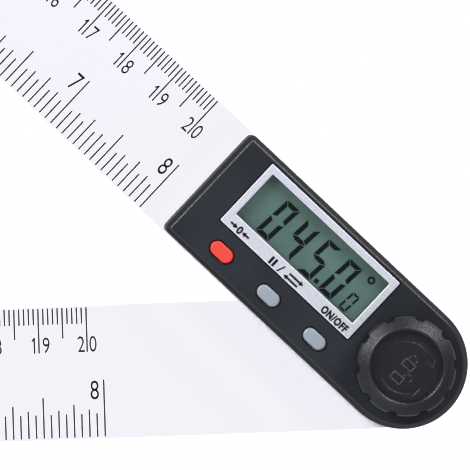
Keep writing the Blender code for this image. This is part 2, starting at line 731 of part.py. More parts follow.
def build_button(name, place, finish, casing, parent):
    """A pill button held under the housing's top by a flange, with the switch that it presses."""
    switch_bottom = board_top + SEAT
    switch_top = switch_bottom + SWITCH_HEIGHT
    plunger_top = switch_top + PLUNGER_RISE
    flange_top = ceiling - SEAT
    flange_bottom = flange_top - BUTTON_FLANGE_THICKNESS
    top = housing_top + BUTTON_PROUD
    foot = 2 * BUTTON_FOOT_RADIUS
    size = (BUTTON_LENGTH, BUTTON_WIDTH)
    lip = [side + 2 * FLANGE_LIP for side in size]
    crown = [side - 2 * BUTTON_EDGE for side in size]
    rings = [
        pill(foot, foot, plunger_top + SEAT),
        pill(foot, foot, flange_bottom),
        pill(*lip, flange_bottom),
        pill(*lip, flange_top),
        pill(*size, flange_top),
        pill(*size, top - BUTTON_EDGE),
        pill(*crown, top),
    ]
    piece(name + "_button", extruded(rings), finish, parent, place, button_y)

    well = switch_bottom + SWITCH_FLOOR
    plunger_bottom = well + SEAT + BUTTON_TRAVEL
    rings = [circle(PLUNGER_RADIUS, z, SMALL_SIDES) for z in (plunger_bottom, plunger_top)]
    piece(name + "_plunger", extruded(rings), casing, parent, place, button_y)

    half = SWITCH_SIDE / 2
    body = box((-half, -half, switch_bottom), (half, half, switch_top))
    made = piece(name + "_switch", body, casing, parent, place, button_y)
    bore = PLUNGER_RADIUS + JOURNAL_CLEARANCE
    rings = [circle(bore, z, SMALL_SIDES) for z in (well, switch_top + OVERRUN)]
    cut(made, name + "_well_cut", extruded(rings))


def lobed(radius, depth, z):
    """The knob's outline: round lobes with shallow flat-bottomed notches between them."""
    ring = []
    pitch = math.tau / KNOB_LOBES
    notch = pitch * NOTCH_SHARE / 2
    ramp = notch / 2
    for lobe in range(KNOB_LOBES):
        start = lobe * pitch
        angles = [(-notch, 0), (-ramp, depth), (ramp, depth), (notch, 0)]
        land = pitch - 2 * notch
        more = NOTCH_POINTS - len(angles) + 1
        angles += [(notch + land * i / more, 0) for i in range(1, more)]
        for angle, drop in angles:
            reach = radius - drop
            ring.append((reach * math.cos(start + angle), reach * math.sin(start + angle), z))
    return ring


def even(radius, z):
    """A circle with its points on the same angles as the lobed outline."""
    return [
        (radius * x / math.hypot(x, y), radius * y / math.hypot(x, y), z)
        for x, y, _ in lobed(radius, 0, z)
    ]


def build_knob(finish, brass, steel, parent):
    """The lobed lock knob, open below, with its threaded core and the washer under it."""
    rim = DIAL_RADIUS + RIM_FLAT
    shoulder = knob_top - RIM_DROP
    cavity = KNOB_RADIUS - NOTCH_DEPTH - KNOB_WALL
    socket = INSERT_RADIUS + SEAT
    rings = [
        even(DIAL_RADIUS - DIAL_DRAFT, dial_floor),
        even(DIAL_RADIUS, knob_top),
        even(rim, knob_top),
        lobed(KNOB_RADIUS - RIM_EDGE, NOTCH_DEPTH, shoulder),
        lobed(KNOB_RADIUS, NOTCH_DEPTH, shoulder - RIM_EDGE),
        lobed(KNOB_RADIUS, NOTCH_DEPTH, knob_bottom),
        even(cavity, knob_bottom),
        even(cavity, knob_ceiling),
        even(BOSS_RADIUS, knob_ceiling),
        even(BOSS_RADIUS, boss_bottom),
        even(socket, boss_bottom),
        even(socket, insert_top + SEAT),
    ]
    piece("lock_knob", extruded(rings), finish, parent)
    bore = STUD_RADIUS + JOURNAL_CLEARANCE
    piece("knob_insert", washer(INSERT_RADIUS, bore, insert_bottom, insert_top), brass, parent)
    inner = SPRING_WASHER_RADIUS - SPRING_WASHER_WALL
    top = spring_washer_bottom + SPRING_WASHER_THICKNESS
    ring = washer(SPRING_WASHER_RADIUS, inner, spring_washer_bottom, top)
    piece("spring_washer", ring, steel, parent)


def build():
    for existing in list(bpy.data.objects):
        bpy.data.objects.remove(existing)

    white = material("white_plastic", (0.86, 0.84, 0.89), 0.42)
    black = material("black_plastic", (0.022, 0.022, 0.026), 0.5)
    silver = material("silver_plastic", (0.66, 0.7, 0.76), 0.4)
    clear = material("clear_lens", (0.9, 0.93, 0.92), 0.08)
    lcd = material("display_glass", (0.16, 0.23, 0.2), 0.15)
    red = material("red_plastic", (0.83, 0.1, 0.075), 0.35)
    grey = material("grey_plastic", (0.39, 0.43, 0.48), 0.4)
    green = material("green_laminate", (0.02, 0.16, 0.06), 0.45)
    foil = material("silver_foil", (0.75, 0.75, 0.75), 0.3, 1.0)
    rubber = material("black_rubber", (0.02, 0.02, 0.02), 0.8)
    natural = material("natural_polymer", (0.75, 0.73, 0.68), 0.5)
    steel = material("zinc_steel", (0.55, 0.56, 0.58), 0.32, 1.0)
    tin = material("tinned_steel", (0.68, 0.68, 0.66), 0.28, 1.0)
    brass = material("brass", (0.72, 0.5, 0.2), 0.3, 1.0)

    base = frame("base_frame", math.pi)
    head = frame("head_frame", math.pi - OPENING)

    build_base_arm(white, base)
    build_hub(steel, base)
    build_pivot_rings(steel, natural, green, base)
    build_knob(black, brass, steel, base)
    build_head_arm(white, head)
    build_housing(black, brass, head)
    build_display(silver, clear, lcd, foil, natural, rubber, head)
    build_board(green, black, head)
    build_tray(natural, head)
    build_battery(tin, steel, white, head)
    for name, place in button_places.items():
        build_button(name, place, red if name == "zero" else grey, black, head)
    bottom = head_bottom + SCREW_SUNK
    length = housing_bottom - bottom + SCREW_GRIP - SEAT
    for number, (x, y) in enumerate(posts, 1):
        screw("housing_screw_" + str(number), bottom, length, steel, head, x, y)


build()
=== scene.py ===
"""The looks of a digital angle finder: two scaled arms on one pivot, a display head and a lock knob.

Shapes are made in millimetres in the frame of the arm that carries them. In that frame +X runs
out along the arm from the pivot, and the scales and the display read towards -X with -Y up.
A piece's place is put in its mesh last, in metres.
"""

import json
import math

import bmesh
import bpy
from bmesh.types import BMEdge, BMFace, BMVert
from mathutils import Matrix, Vector

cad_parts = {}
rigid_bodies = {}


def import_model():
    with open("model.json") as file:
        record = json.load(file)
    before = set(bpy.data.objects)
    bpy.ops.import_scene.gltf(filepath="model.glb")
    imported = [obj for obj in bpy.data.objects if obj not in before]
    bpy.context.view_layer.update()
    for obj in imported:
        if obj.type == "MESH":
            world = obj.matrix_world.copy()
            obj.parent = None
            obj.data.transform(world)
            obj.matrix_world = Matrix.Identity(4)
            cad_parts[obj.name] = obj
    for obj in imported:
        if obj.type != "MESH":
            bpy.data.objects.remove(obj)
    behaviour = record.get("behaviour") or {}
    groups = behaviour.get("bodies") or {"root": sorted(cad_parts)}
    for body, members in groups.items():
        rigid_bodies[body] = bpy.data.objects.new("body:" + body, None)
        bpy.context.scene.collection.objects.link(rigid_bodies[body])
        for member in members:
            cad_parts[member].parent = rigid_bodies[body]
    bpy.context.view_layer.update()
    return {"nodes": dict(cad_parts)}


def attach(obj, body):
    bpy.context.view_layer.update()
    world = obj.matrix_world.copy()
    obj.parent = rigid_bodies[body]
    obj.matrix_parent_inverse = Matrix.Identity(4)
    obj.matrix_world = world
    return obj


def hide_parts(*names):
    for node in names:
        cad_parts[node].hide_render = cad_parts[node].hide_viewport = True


for startup_object in list(bpy.data.objects):
    bpy.data.objects.remove(startup_object)

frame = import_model()

MM = 0.001

# Frames
OPENING = math.radians(45)
BASE_FRAME = Matrix.Rotation(math.pi, 4, "Z")
HEAD_FRAME = Matrix.Rotation(math.pi - OPENING, 4, "Z")
KNOB_FRAME = Matrix.Identity(4)
READING = Matrix.Rotation(math.pi, 4, "Z")  # turns print to read towards the pivot

# Arms, in millimetres from here on
ARM_REACH = 265.0
ARM_HALF = 13.75
ARM_THICKNESS = 2.5
ARM_CORNER = 0.6
ARM_EDGE = 0.14
BASE_BOTTOM = 0.0
HEAD_BOTTOM = 2.8
HEAD_TOP = HEAD_BOTTOM + ARM_THICKNESS
SEAT = 0.1
FLANGE_SEAT = 9.62  # to the corners of the hub flange's hexagon
FLANGE_DEPTH = 1.1
KEY_SEAT = 6.92
WASHER_SEAT = (12.6, 7.4)
WASHER_DEPTH = 0.4
PIVOT_BORE = 5.1
CELL_X = 37.0
CELL_HOLE = 10.2
EAR_X = 50.2
EAR_SEAT = 2.8
DOOR_SEAT = 11.4
DOOR_TOP = 3.9
POST_X = (9.128, 52.0)
POST_Y = 10.35
SCREW_HEAD = 1.8
SCREW_SHANK = 1.0
SCREW_CONE = (0.2, 1.1)  # from the arm's underside to the cone's two ends
ARM_SIDE_SHADE = (0.02, 2.4)  # from the arm's underside to where the painted shade on its sides starts and ends

# Printed scales
INK = 0.012  # height of the print over the plastic
LINE = 0.31
CM = 10
CM_EDGE = 13.58
CM_ENDS = {CM: 4.25, 5: 7.2, 1: 10.15}  # by the length that a line marks, the longest first
CM_COUNT = 200
INCH = 25.4
INCH_EDGE = 13.5
INCH_ENDS = {16: 1.6, 8: 5.0, 4: 6.6, 2: 7.75, 1: 8.6}  # by the sixteenths that a line marks
INCH_PARTS = 16
INCH_COUNT = 8
CM_DIGIT = 3.3
CM_DIGIT_GAP = 0.49  # from the line to the digit on each side
ONE_GAP = 0.29  # more than that beside a 1
INCH_DIGIT = 3.95
INCH_DIGIT_GAP = 1.05
INCH_DIGIT_TOP = 1.75
DIGIT_WIDTH_SHARE = 0.72  # of the plain letter's width
DIGIT_WEIGHT = -0.002  # of the letter's height, added to each side of its strokes
FLAG = (0.5, 0.68)  # how far the short stroke of a 1 goes to the left and down
FLAG_DROP = LINE / 3  # from the top of the 1 to the short stroke's middle line

# Housing
HOUSING_BOTTOM = 5.4
CEILING = 11.2
SHOULDER = 11.6
HOUSING_TOP = 12.8
HOUSING_REACH = 55.6
HOUSING_HALF = 13.45
HOUSING_CORNER = 1.2
HOUSING_WALL = 1.2
INNER_CORNER = 0.5
SLOPE_WIDTH = 1.0
HOUSING_SIDE_SHADE = (5.0, 12.64)  # heights between which the sides and the slope are painted darker, as shade
# heights between which the ridge is smoother and painted paler, as a highlight
RIDGE_HIGHLIGHT = (12.64, 12.79)
RIDGE = 0.17  # the small flat where the top meets its sloping edge
SHOULDER_ROUND = 0.3
POST_RADIUS = 1.9
POST_ROOT = 0.4  # how deep a post goes into the ceiling
PILOT_RADIUS = 1.0
PILOT_END = 10.0
BUSH_HOLE = (3.3, 4.6)
BUSH_SEAT = 12.3
HOLE_EDGE = 0.05

# Display
BEZEL_X = 30.2
BEZEL_Y = -3.78
BEZEL_SIZE = (36.2, 15.86)
BEZEL_CORNER = 0.2
BEZEL_BOTTOM = 12.1
BEZEL_TOP = 13.1
BEZEL_EDGE = 0.15
BEZEL_GAP = 0.24
BEZEL_EDGE_HIGHLIGHT = (12.95, 13.09)  # heights between which the bezel's edges are smoother and painted near-white, as a highlight
BEZEL_SIDE_SHADE = (11.9, 12.93)  # and its sides and window walls are painted near-black, as the shade of the gaps round it
WINDOW_SIZE = (33.06, 11.2)
WINDOW_Y = -4.55
LENS_LAP = 0.9
LCD_TOP = 11.1
READOUT = "0450"
SMALL_READOUT = "0"
DIGIT_LIFT = 0.01
DIGIT_FILM = 0.02
DIGIT_X = 39.33  # the first digit's middle
DIGIT_PITCH = 5.91
DIGIT_SIZE = (3.75, 9.25)
DIGIT_Y = -3.87
DIGIT_STROKE = 1.14
DIGIT_SLANT = 0.082
BAR_GAP = 0.15
MIDDLE_SHARE = 1 / 12  # of a digit's size: a bar nearer its middle than this is a middle one
POINT_PLACE = (24.95, -0.25)
POINT_SIDE = 0.95
DEGREE_PLACE = (16.7, -8.1)
DEGREE_RADII = (0.84, 0.44)
SMALL_PLACE = (17.0, -1.65)
SMALL_SIZE = (2.1, 4.55)
SMALL_STROKE = 0.6

# Labels on the bezel's lower strip
LABEL_Y = 2.95
LABEL_HEIGHT = 1.72
LABEL_STROKE = 0.4
LABEL_FILM = 0.012
ZERO_X = 43.85
HOLD_X = 30.6
POWER_X = 17.0
POWER_WIDTH_SHARE = 0.79
POWER_SPACING = 1.14
POWER_WEIGHT = 0.046
LABEL_WEIGHT = 0.036
SIGN_HEAD = 0.6  # an arrowhead's radius
NOUGHT_ARROW = (1.1, 1.95)  # a shaft's length, and from its middle to the nought's
NOUGHT_HEAD_X = 1.25
TWO_BARS_X = (-4.3, -3.4)
TWO_BARS_SHARE = 1.3  # of the stroke
SLASH_X = -1.6
SLASH_TURN = math.radians(68)
SLASH_SHARES = (1.15, 0.7)  # of the label's height, and of the stroke
PAIR_X = 1.9
PAIR_Y = 0.5
PAIR_LENGTH = 3.0
PAIR_HEAD_X = 1.7

# Buttons
BUTTON_Y = 8.8
BUTTON_X = {"zero": 43.5, "hold": 30.3, "power": 17.2}
BUTTON_SIZE = (5.36, 2.98)
BUTTON_GAP = 0.29
BUTTON_TOP = 13.4
BUTTON_ROUND = 0.45
BUTTON_FOOT = 1.2
BUTTON_FOOT_BOTTOM = 10.5
BUTTON_LIP = 0.7
BUTTON_LIP_LEVELS = (10.6, 11.1)

# Knob
KNOB_RADIUS = 10.3
KNOB_BOTTOM = 13.2
KNOB_TOP = 20.2
KNOB_LOBES = 10
KNOB_FOOT_EDGE = 0.15
KNOB_SIDE_RING = 16.0  # the height of a ring of points round the side
NOTCH_DEPTH = 0.62
NOTCH_SHARE = 0.4
DIAL_FLOOR = 18.9
DIAL_FOOT = ((7.3, 0.0), (7.42, 0.12))  # radius, and height over the dial's floor
RIM = (  # from the dial's wall outwards: radius, and depth under the knob's top
    (7.48, 0.3), (7.5, 0.14), (7.76, 0.0), (7.9, 0.0), (8.4, 0.25), (8.9, 0.51), (9.4, 0.78),
    (9.75, 0.99), (10.0, 1.16), (10.17, 1.32), (10.27, 1.5), (KNOB_RADIUS, 1.75),
)
LIP_HIGHLIGHT = (20.05, 20.3)  # heights between which the rim is smoother and painted paler, as a highlight
KNOB_CEILING = 17.5
CAVITY_RADIUS = 8.4
BOSS_RADIUS = 4.8
BOSS_BOTTOM = 13.5
INSERT_HOLE = 3.6
INSERT_TOP = 17.3
MARK_DEPTH = 0.1
MARK_SLOPE = 0.17
MARK_STROKE = 0.38
ARROW_RADIUS = 5.4
ARROW_WIDTH = 0.7
ARROW_HEAD = 1.9
ARROW_WING = 0.95
ARROW_DROOP = 0.3  # how far the tip bends in with the circle
ARROWS = [  # start and sweep: one to lock, one to open
    (math.radians(113), math.radians(-100)),
    (math.radians(180), math.radians(100)),
]
LOCK_SIZE = (2.9, 1.9)
LOCK_PLACES = ((1.55, 0.0), (-2.0, 1.75))  # the body's upper edge, and the shackle's swing
LOCK_GAP = 0.12
SHACKLE_RADIUS = 0.85
SHACKLE_LEG = 0.3

# Steps round a curve
ARC_STEPS = 96
TURN_STEPS = 72
EAR_STEPS = 24
SMALL_STEPS = 36
KNOB_STEPS = 360
BUTTON_STEPS = 5
CORNER_STEPS = 6
BEVEL_STEPS = 3
LETTER_STEPS = 6
BAND_STEP = math.radians(4)
HEXAGON = 6
SHARP = math.radians(40)
RIDGE_SHARP = math.radians(20)

# Cutting and merging
OVERRUN = 1.0  # how far a cutter goes past what it cuts
NEAR = 0.001  # places closer than this count as one
CUT_MERGE = 0.002  # points closer than this are merged after a cut
LETTER_MERGE = 0.0001  # the same in a letter, before it has its size


# Shapes

def mesh_of(bm, name):
    """Makes a mesh of a shape, and frees the shape."""
    mesh = bpy.data.meshes.new(name)
    bm.to_mesh(mesh)
    bm.free()
    return mesh


def take_in(bm, mesh):
    """Adds a mesh to a shape, and removes the mesh."""
    bm.from_mesh(mesh)
    bpy.data.meshes.remove(mesh)


def only(kind, geom):
    """The points, edges or faces among what an operator gives."""
    return [item for item in geom if isinstance(item, kind)]


def new_object(name, data):
    """An object in the scene."""
    made = bpy.data.objects.new(name, data)
    bpy.context.scene.collection.objects.link(made)
    return made


def evaluated_mesh(holder):
    """An object's mesh with its modifiers applied, or with its text made faces."""
    graph = bpy.context.evaluated_depsgraph_get()
    return bpy.data.meshes.new_from_object(holder.evaluated_get(graph))


def at(bm, x, y=0.0, z=0.0):
    """Moves a shape."""
    bmesh.ops.translate(bm, vec=(x, y, z), verts=bm.verts)
    return bm


def face_up(bm):
    """Turns the faces of a flat shape upwards."""
    for face in bm.faces:
        face.normal_update()
        if face.normal.z < 0:
            face.normal_flip()
    return bm


def round_corners(bm, corners, size):
    """Rounds the corners of a flat shape."""
    bmesh.ops.bevel(
        bm, geom=corners, affect="VERTICES", offset=size, segments=CORNER_STEPS, profile=0.5,
        material=-1,
    )


def arc(bm, centre, radius, start, sweep, steps):
    """Draws a curved line from one angle and through another, and gives its two ends."""
    centre = Vector(centre)
    first = bm.verts.new(centre + Matrix.Rotation(start, 3, "Z") @ Vector((radius, 0, 0)))
    made = bmesh.ops.spin(
        bm, geom=[first], cent=centre, axis=(0, 0, 1), dvec=(0, 0, 0), angle=sweep, steps=steps)
    return first, only(BMVert, made["geom_last"])[0]


def blade(reach, half, corner, z):
    """A flat outline with a half circle round the pivot and a square end with small corners."""
    bm = bmesh.new()
    first, last = arc(bm, (0, 0, z), half, math.pi / 2, math.pi, ARC_STEPS)
    corners = [bm.verts.new((reach, y, z)) for y in (-half, half)]
    for ends in ((last, corners[0]), corners, (corners[1], first)):
        bm.edges.new(ends)
    bmesh.ops.contextual_create(bm, geom=bm.edges[:])
    round_corners(bm, corners, corner)
    return face_up(bm)


def panel(length, width, corner, z, x, y):
    """A flat rectangle with rounded corners."""
    bm = bmesh.new()
    bar(bm, length, width, 0, 0)
    round_corners(bm, bm.verts[:], corner)
    return face_up(at(bm, x, y, z))


def eared(z):
    """The outline of the battery door's seat: round over the cell, with an ear for its screw."""
    bm = bmesh.new()
    lean = math.acos((DOOR_SEAT - EAR_SEAT) / (EAR_X - CELL_X))
    body = arc(bm, (CELL_X, 0, z), DOOR_SEAT, lean, math.tau - 2 * lean, TURN_STEPS)
    ear = arc(bm, (EAR_X, 0, z), EAR_SEAT, -lean, 2 * lean, EAR_STEPS)
    bm.edges.new((body[1], ear[0]))
    bm.edges.new((ear[1], body[0]))
    bmesh.ops.contextual_create(bm, geom=bm.edges[:])
    return face_up(bm)


def rise(bm, *steps):
    """Draws a flat outline up into a solid. Each step is a height and how far it draws in."""
    cap = bm.faces[:][0]
    for height, inward in steps:
        if inward:
            bmesh.ops.inset_region(
                bm, faces=[cap], thickness=inward, depth=height, use_even_offset=True,
                use_boundary=True,
            )
            continue
        made = bmesh.ops.extrude_face_region(bm, geom=[cap, *cap.edges, *cap.verts])["geom"]
        cap = only(BMFace, made)[0]
        bmesh.ops.translate(bm, vec=(0, 0, height), verts=cap.verts)
    bmesh.ops.recalc_face_normals(bm, faces=bm.faces)
    return bm


def thicken(bm, height):
    """Draws every flat face of a print up into a thin solid."""
    made = bmesh.ops.extrude_face_region(bm, geom=bm.faces[:])["geom"]
    bmesh.ops.translate(bm, vec=(0, 0, height), verts=only(BMVert, made))
    bmesh.ops.recalc_face_normals(bm, faces=bm.faces)
    return bm


def turned(profile, steps=TURN_STEPS, closed=False):
    """A profile of radius and height turned round the Z axis, first on the half step."""
    bm = bmesh.new()
    verts = [bm.verts.new((radius, 0, z)) for radius, z in profile]
    pairs = zip(verts, verts[1:] + verts[:1]) if closed else zip(verts, verts[1:])
    edges = [bm.edges.new(pair) for pair in pairs]
    bmesh.ops.rotate(
        bm, verts=verts, cent=(0, 0, 0), matrix=Matrix.Rotation(math.pi / steps, 3, "Z")
    )
    bmesh.ops.spin(
        bm, geom=verts + edges, cent=(0, 0, 0), axis=(0, 0, 1), dvec=(0, 0, 0),
        angle=math.tau, steps=steps, use_merge=True,
    )
    bmesh.ops.remove_doubles(bm, verts=bm.verts, dist=NEAR)
    bmesh.ops.recalc_face_normals(bm, faces=bm.faces)
    return bm


def stretched(bm, length):
    """Pulls the two halves of a turned shape apart along X, which makes a circle a pill."""
    for sign in (-1, 1):
        half = [vert for vert in bm.verts if vert.co.x * sign > NEAR]
        bmesh.ops.translate(bm, vec=(sign * length / 2, 0, 0), verts=half)
    return bm


def column(radius, bottom, top, steps=TURN_STEPS):
    """A round solid on the Z axis."""
    return turned([(0, bottom), (radius, bottom), (radius, top), (0, top)], steps)


def hexagon(radius, bottom, top):
    """A six-sided solid on the Z axis, turned by half a side."""
    bm = bmesh.new()
    turn = Matrix.Rotation(math.pi / HEXAGON, 4, "Z")
    bmesh.ops.create_circle(
        bm, cap_ends=True, segments=HEXAGON, radius=radius,
        matrix=Matrix.Translation((0, 0, bottom)) @ turn,
    )
    return rise(face_up(bm), (top - bottom, 0))


def together(solids):
    """Several solids in one shape."""
    whole = bmesh.new()
    for solid in solids:
        take_in(whole, mesh_of(solid, "solid"))
    return whole


def carved(bm, tool, operation="DIFFERENCE"):
    """The first solid with the second cut from it, or joined to it."""
    pair = [new_object("carving", mesh_of(shape, "carving")) for shape in (bm, tool)]
    modifier = pair[0].modifiers.new("carving", "BOOLEAN")
    modifier.operation = operation
    modifier.solver = "EXACT"
    modifier.object = pair[1]
    result = bmesh.new()
    take_in(result, evaluated_mesh(pair[0]))
    bmesh.ops.remove_doubles(result, verts=result.verts, dist=CUT_MERGE)
    for holder in pair:
        bpy.data.meshes.remove(holder.data)
    return result


def rounded_edges(bm, chosen, size, steps=BEVEL_STEPS):
    """Bevels the edges that a test picks by their two ends."""
    edges = [edge for edge in bm.edges if chosen(edge.verts[0].co, edge.verts[1].co)]
    bmesh.ops.bevel(
        bm, geom=edges, affect="EDGES", offset=size, segments=steps, profile=0.5,
        material=-1, clamp_overlap=True,
    )
    return bm


def level(z):
    """A test for edges that lie at this height."""
    return lambda a, b: abs(a.z - z) < NEAR and abs(b.z - z) < NEAR


# Flat print

def bar(bm, length, width, x, y, turn=0.0):
    """Adds a flat rectangle."""
    place = Matrix.Translation((x, y, 0)) @ Matrix.Rotation(turn, 4, "Z")
    place = place @ Matrix.Diagonal((length, width, 1, 1))
    bmesh.ops.create_grid(bm, x_segments=1, y_segments=1, size=0.5, matrix=place)


def band(bm, radius, stroke, start, sweep, x=0.0, y=0.0):
    """Part of a flat ring, from one angle and through another."""
    turn = Matrix.Rotation(start, 4, "Z")
    ends = [turn @ Vector((radius + side * stroke / 2, 0, 0)) for side in (-1, 1)]
    verts = [bm.verts.new(end + Vector((x, y, 0))) for end in ends]
    edge = bm.edges.new(verts)
    made = bmesh.ops.spin(
        bm, geom=[*verts, edge], cent=(x, y, 0), axis=(0, 0, 1), dvec=(0, 0, 0),
        angle=sweep, steps=round(abs(sweep) / BAND_STEP), use_merge=abs(sweep) == math.tau,
    )
    return edge, only(BMEdge, made["geom_last"])


def framed(bm, stroke):
    """Takes the middle out of a flat shape, and leaves a frame of this width."""
    middle = bm.faces[:]
    bmesh.ops.inset_region(
        bm, faces=middle, thickness=stroke, use_boundary=True, use_even_offset=True)
    bmesh.ops.delete(bm, geom=middle, context="FACES")


def arrowhead(bm, size, x, y, turn):
    """Adds a flat triangle."""
    place = Matrix.Translation((x, y, 0)) @ Matrix.Rotation(turn, 4, "Z")
    bmesh.ops.create_circle(bm, cap_ends=True, segments=3, radius=size, matrix=place)


def letters(text, height, width_share, weight, spacing=1.0):
    """Plain flat letters, their middle over the origin and their feet on the X axis."""
    curve = bpy.data.curves.new("letters", "FONT")
    curve.body = text
    curve.offset = weight
    curve.space_character = spacing
    curve.resolution_u = LETTER_STEPS
    holder = new_object("letters", curve)
    bm = bmesh.new()
    take_in(bm, evaluated_mesh(holder))
    bpy.data.objects.remove(holder)
    bmesh.ops.remove_doubles(bm, verts=bm.verts, dist=LETTER_MERGE)
    left, right = span(bm, 0)
    low, high = span(bm, 1)
    scale = height / (high - low)
    bmesh.ops.translate(bm, vec=(-(left + right) / 2, -low, 0), verts=bm.verts)
    bmesh.ops.scale(bm, vec=(scale * width_share, scale, 1), verts=bm.verts)
    return bm


def span(bm, axis):
    """The lowest and highest place of a shape's points along one axis."""
    values = [vert.co[axis] for vert in bm.verts]
    return min(values), max(values)


def put(bm, part, x, y, frame_turn=READING):
    """Adds a flat part to a print, turned to read towards the pivot."""
    part.transform(Matrix.Translation((x, y, 0)) @ frame_turn)
    take_in(bm, mesh_of(part, "print"))


# A digit's seven bars, by the side that each lies on across and up, and the ones that are lit
BAR_SIDES = {
    "a": (0, 1), "b": (1, 1), "c": (1, -1), "d": (0, -1), "e": (-1, -1), "f": (-1, 1), "g": (0, 0),
}
LIT_BARS = {"0": "abcdef", "4": "bcfg", "5": "acdfg"}


def display_digit(digit, width, height, stroke):
    """A seven-bar digit round the origin: a mitred frame cut at half height, and a middle bar."""
    bm = bmesh.new()
    bar(bm, width, height, 0, 0)
    framed(bm, stroke)
    cut = bmesh.ops.bisect_plane(
        bm, geom=[*bm.verts, *bm.edges, *bm.faces], plane_co=(0, 0, 0), plane_no=(0, 1, 0))
    bmesh.ops.split_edges(bm, edges=only(BMEdge, cut["geom_cut"]))
    inner = width / 2 - stroke
    for face in bm.faces:
        side = math.copysign(1, face.calc_center_median().y)
        for vert in face.verts:
            if abs(vert.co.y) < NEAR and abs(vert.co.x) < inner + NEAR:
                vert.co.y = side * stroke / 2
    # The middle bar is a hexagon on its side, drawn out to the digit's width
    bridge = bmesh.ops.create_circle(bm, cap_ends=True, segments=HEXAGON, radius=1)["verts"]
    bmesh.ops.rotate(bm, verts=bridge, cent=(0, 0, 0), matrix=Matrix.Rotation(math.pi / 2, 3, "Z"))
    for vert in bridge:
        reach = width / 2 if abs(vert.co.y) < NEAR else inner
        vert.co.x = math.copysign(reach, vert.co.x)
        vert.co.y *= stroke / 2 / math.sin(math.tau / HEXAGON)
    bars = set(bm.faces)
    bmesh.ops.inset_individual(
        bm, faces=bm.faces[:], thickness=BAR_GAP / 2, use_even_offset=True)
    lit = {BAR_SIDES[name] for name in LIT_BARS[digit]}
    spare = []
    for face in bm.faces:
        centre = face.calc_center_median()
        where = tuple(
            0 if abs(value) < size * MIDDLE_SHARE else int(math.copysign(1, value))
            for value, size in zip(centre, (width, height))
        )
        if face not in bars or where not in lit:
            spare.append(face)
    bmesh.ops.delete(bm, geom=spare, context="FACES")
    slant = Matrix.Identity(4)
    slant[0][1] = DIGIT_SLANT
    bm.transform(slant)
    return bm


# Materials

DRIFT_RANGE = (0.75, 1.25)  # of the two noises added, from the light colour to the dark one
SHINE_RANGE = (0.3, 0.7)  # of the fine noise, from the smoothest place to the roughest
ACRYLIC_SHARE = 0.04  # of the light that clear acrylic throws back head on
ACRYLIC_POWER = 5.0  # how that share grows towards a slant


def linear(colour):
    """A colour's sRGB hex value as linear RGBA."""
    values = [int(colour[i:i + 2], 16) / 255 for i in (1, 3, 5)]
    curve = [v / 12.92 if v <= 0.04045 else ((v + 0.055) / 1.055) ** 2.4 for v in values]
    return (*curve, 1.0)


def per_metre(size):
    """The texture scale whose features are this many millimetres apart."""
    return 1 / (size * MM)


def add_node(tree, kind, inputs=None, **settings):
    """Adds one node. Its inputs are values, or the sockets that feed them."""
    made = tree.nodes.new(kind)
    for name, value in settings.items():
        setattr(made, name, value)
    for name, value in (inputs or {}).items():
        if isinstance(value, bpy.types.NodeSocket):
            tree.links.new(value, made.inputs[name])
        else:
            made.inputs[name].default_value = value
    return made


def new_material(name, **values):
    """A material, its node tree and its Principled shader with these values set on it."""
    made = bpy.data.materials.new(name)
    made.use_nodes = True
    shader = made.node_tree.nodes["Principled BSDF"]
    for socket, value in values.items():
        shader.inputs[socket.replace("_", " ")].default_value = value
    return made, made.node_tree, shader


def grained(name, light, dark, drift, grain, relief, roughness, spread, **values):
    """A surface with a slow drift between two near colours and a fine grain in its relief.

    Drift and grain are sizes in millimetres, and relief is the grain's depth in millimetres. A
    real grain finer than about 0.2 mm is drawn at that or coarser, so that it shows.
    """
    made, tree, shader = new_material(name, **values)
    where = add_node(tree, "ShaderNodeTexCoord").outputs["Object"]
    slow = add_node(tree, "ShaderNodeTexNoise", {
        "Vector": where, "Scale": per_metre(drift), "Detail": 2.0})
    fine = add_node(tree, "ShaderNodeTexNoise", {
        "Vector": where, "Scale": per_metre(grain), "Detail": 3.0, "Roughness": 0.6})
    both = add_node(tree, "ShaderNodeMath", operation="ADD")
    tree.links.new(slow.outputs["Fac"], both.inputs[0])
    tree.links.new(fine.outputs["Fac"], both.inputs[1])
    mottle = add_node(tree, "ShaderNodeMapRange", {
        "Value": both.outputs["Value"],
        "From Min": DRIFT_RANGE[0], "From Max": DRIFT_RANGE[1]})
    tone = add_node(tree, "ShaderNodeMix", {
        "Factor": mottle.outputs["Result"], "A": linear(light), "B": linear(dark)},
        data_type="RGBA")
    tree.links.new(tone.outputs["Result"], shader.inputs["Base Color"])
    shine = add_node(tree, "ShaderNodeMapRange", {
        "Value": fine.outputs["Fac"], "From Min": SHINE_RANGE[0], "From Max": SHINE_RANGE[1],
        "To Min": roughness - spread, "To Max": roughness + spread})
    tree.links.new(shine.outputs["Result"], shader.inputs["Roughness"])
    bump = add_node(tree, "ShaderNodeBump", {
        "Height": fine.outputs["Fac"], "Strength": 1.0, "Distance": relief * MM})
    tree.links.new(bump.outputs["Normal"], shader.inputs["Normal"])
    return made


def between_heights(finish, low, high, colour, roughness):
    """Gives a finish another colour and roughness between two heights in millimetres."""
    tree = finish.node_tree
    shader = tree.nodes["Principled BSDF"]
    where = add_node(tree, "ShaderNodeTexCoord").outputs["Object"]
    height = add_node(tree, "ShaderNodeSeparateXYZ", {"Vector": where}).outputs["Z"]
    inside = add_node(tree, "ShaderNodeMath", operation="COMPARE")
    tree.links.new(height, inside.inputs[0])
    inside.inputs[1].default_value = (low + high) / 2 * MM
    inside.inputs[2].default_value = (high - low) / 2 * MM
    tone = add_node(tree, "ShaderNodeMix", {
        "Factor": inside.outputs["Value"], "A": shader.inputs["Base Color"].links[0].from_socket,
        "B": linear(colour)}, data_type="RGBA")
    tree.links.new(tone.outputs["Result"], shader.inputs["Base Color"])
    shine = add_node(tree, "ShaderNodeMix", {
        "Factor": inside.outputs["Value"], "A": shader.inputs["Roughness"].links[0].from_socket,
        "B": roughness}, data_type="FLOAT")
    tree.links.new(shine.outputs["Result"], shader.inputs["Roughness"])


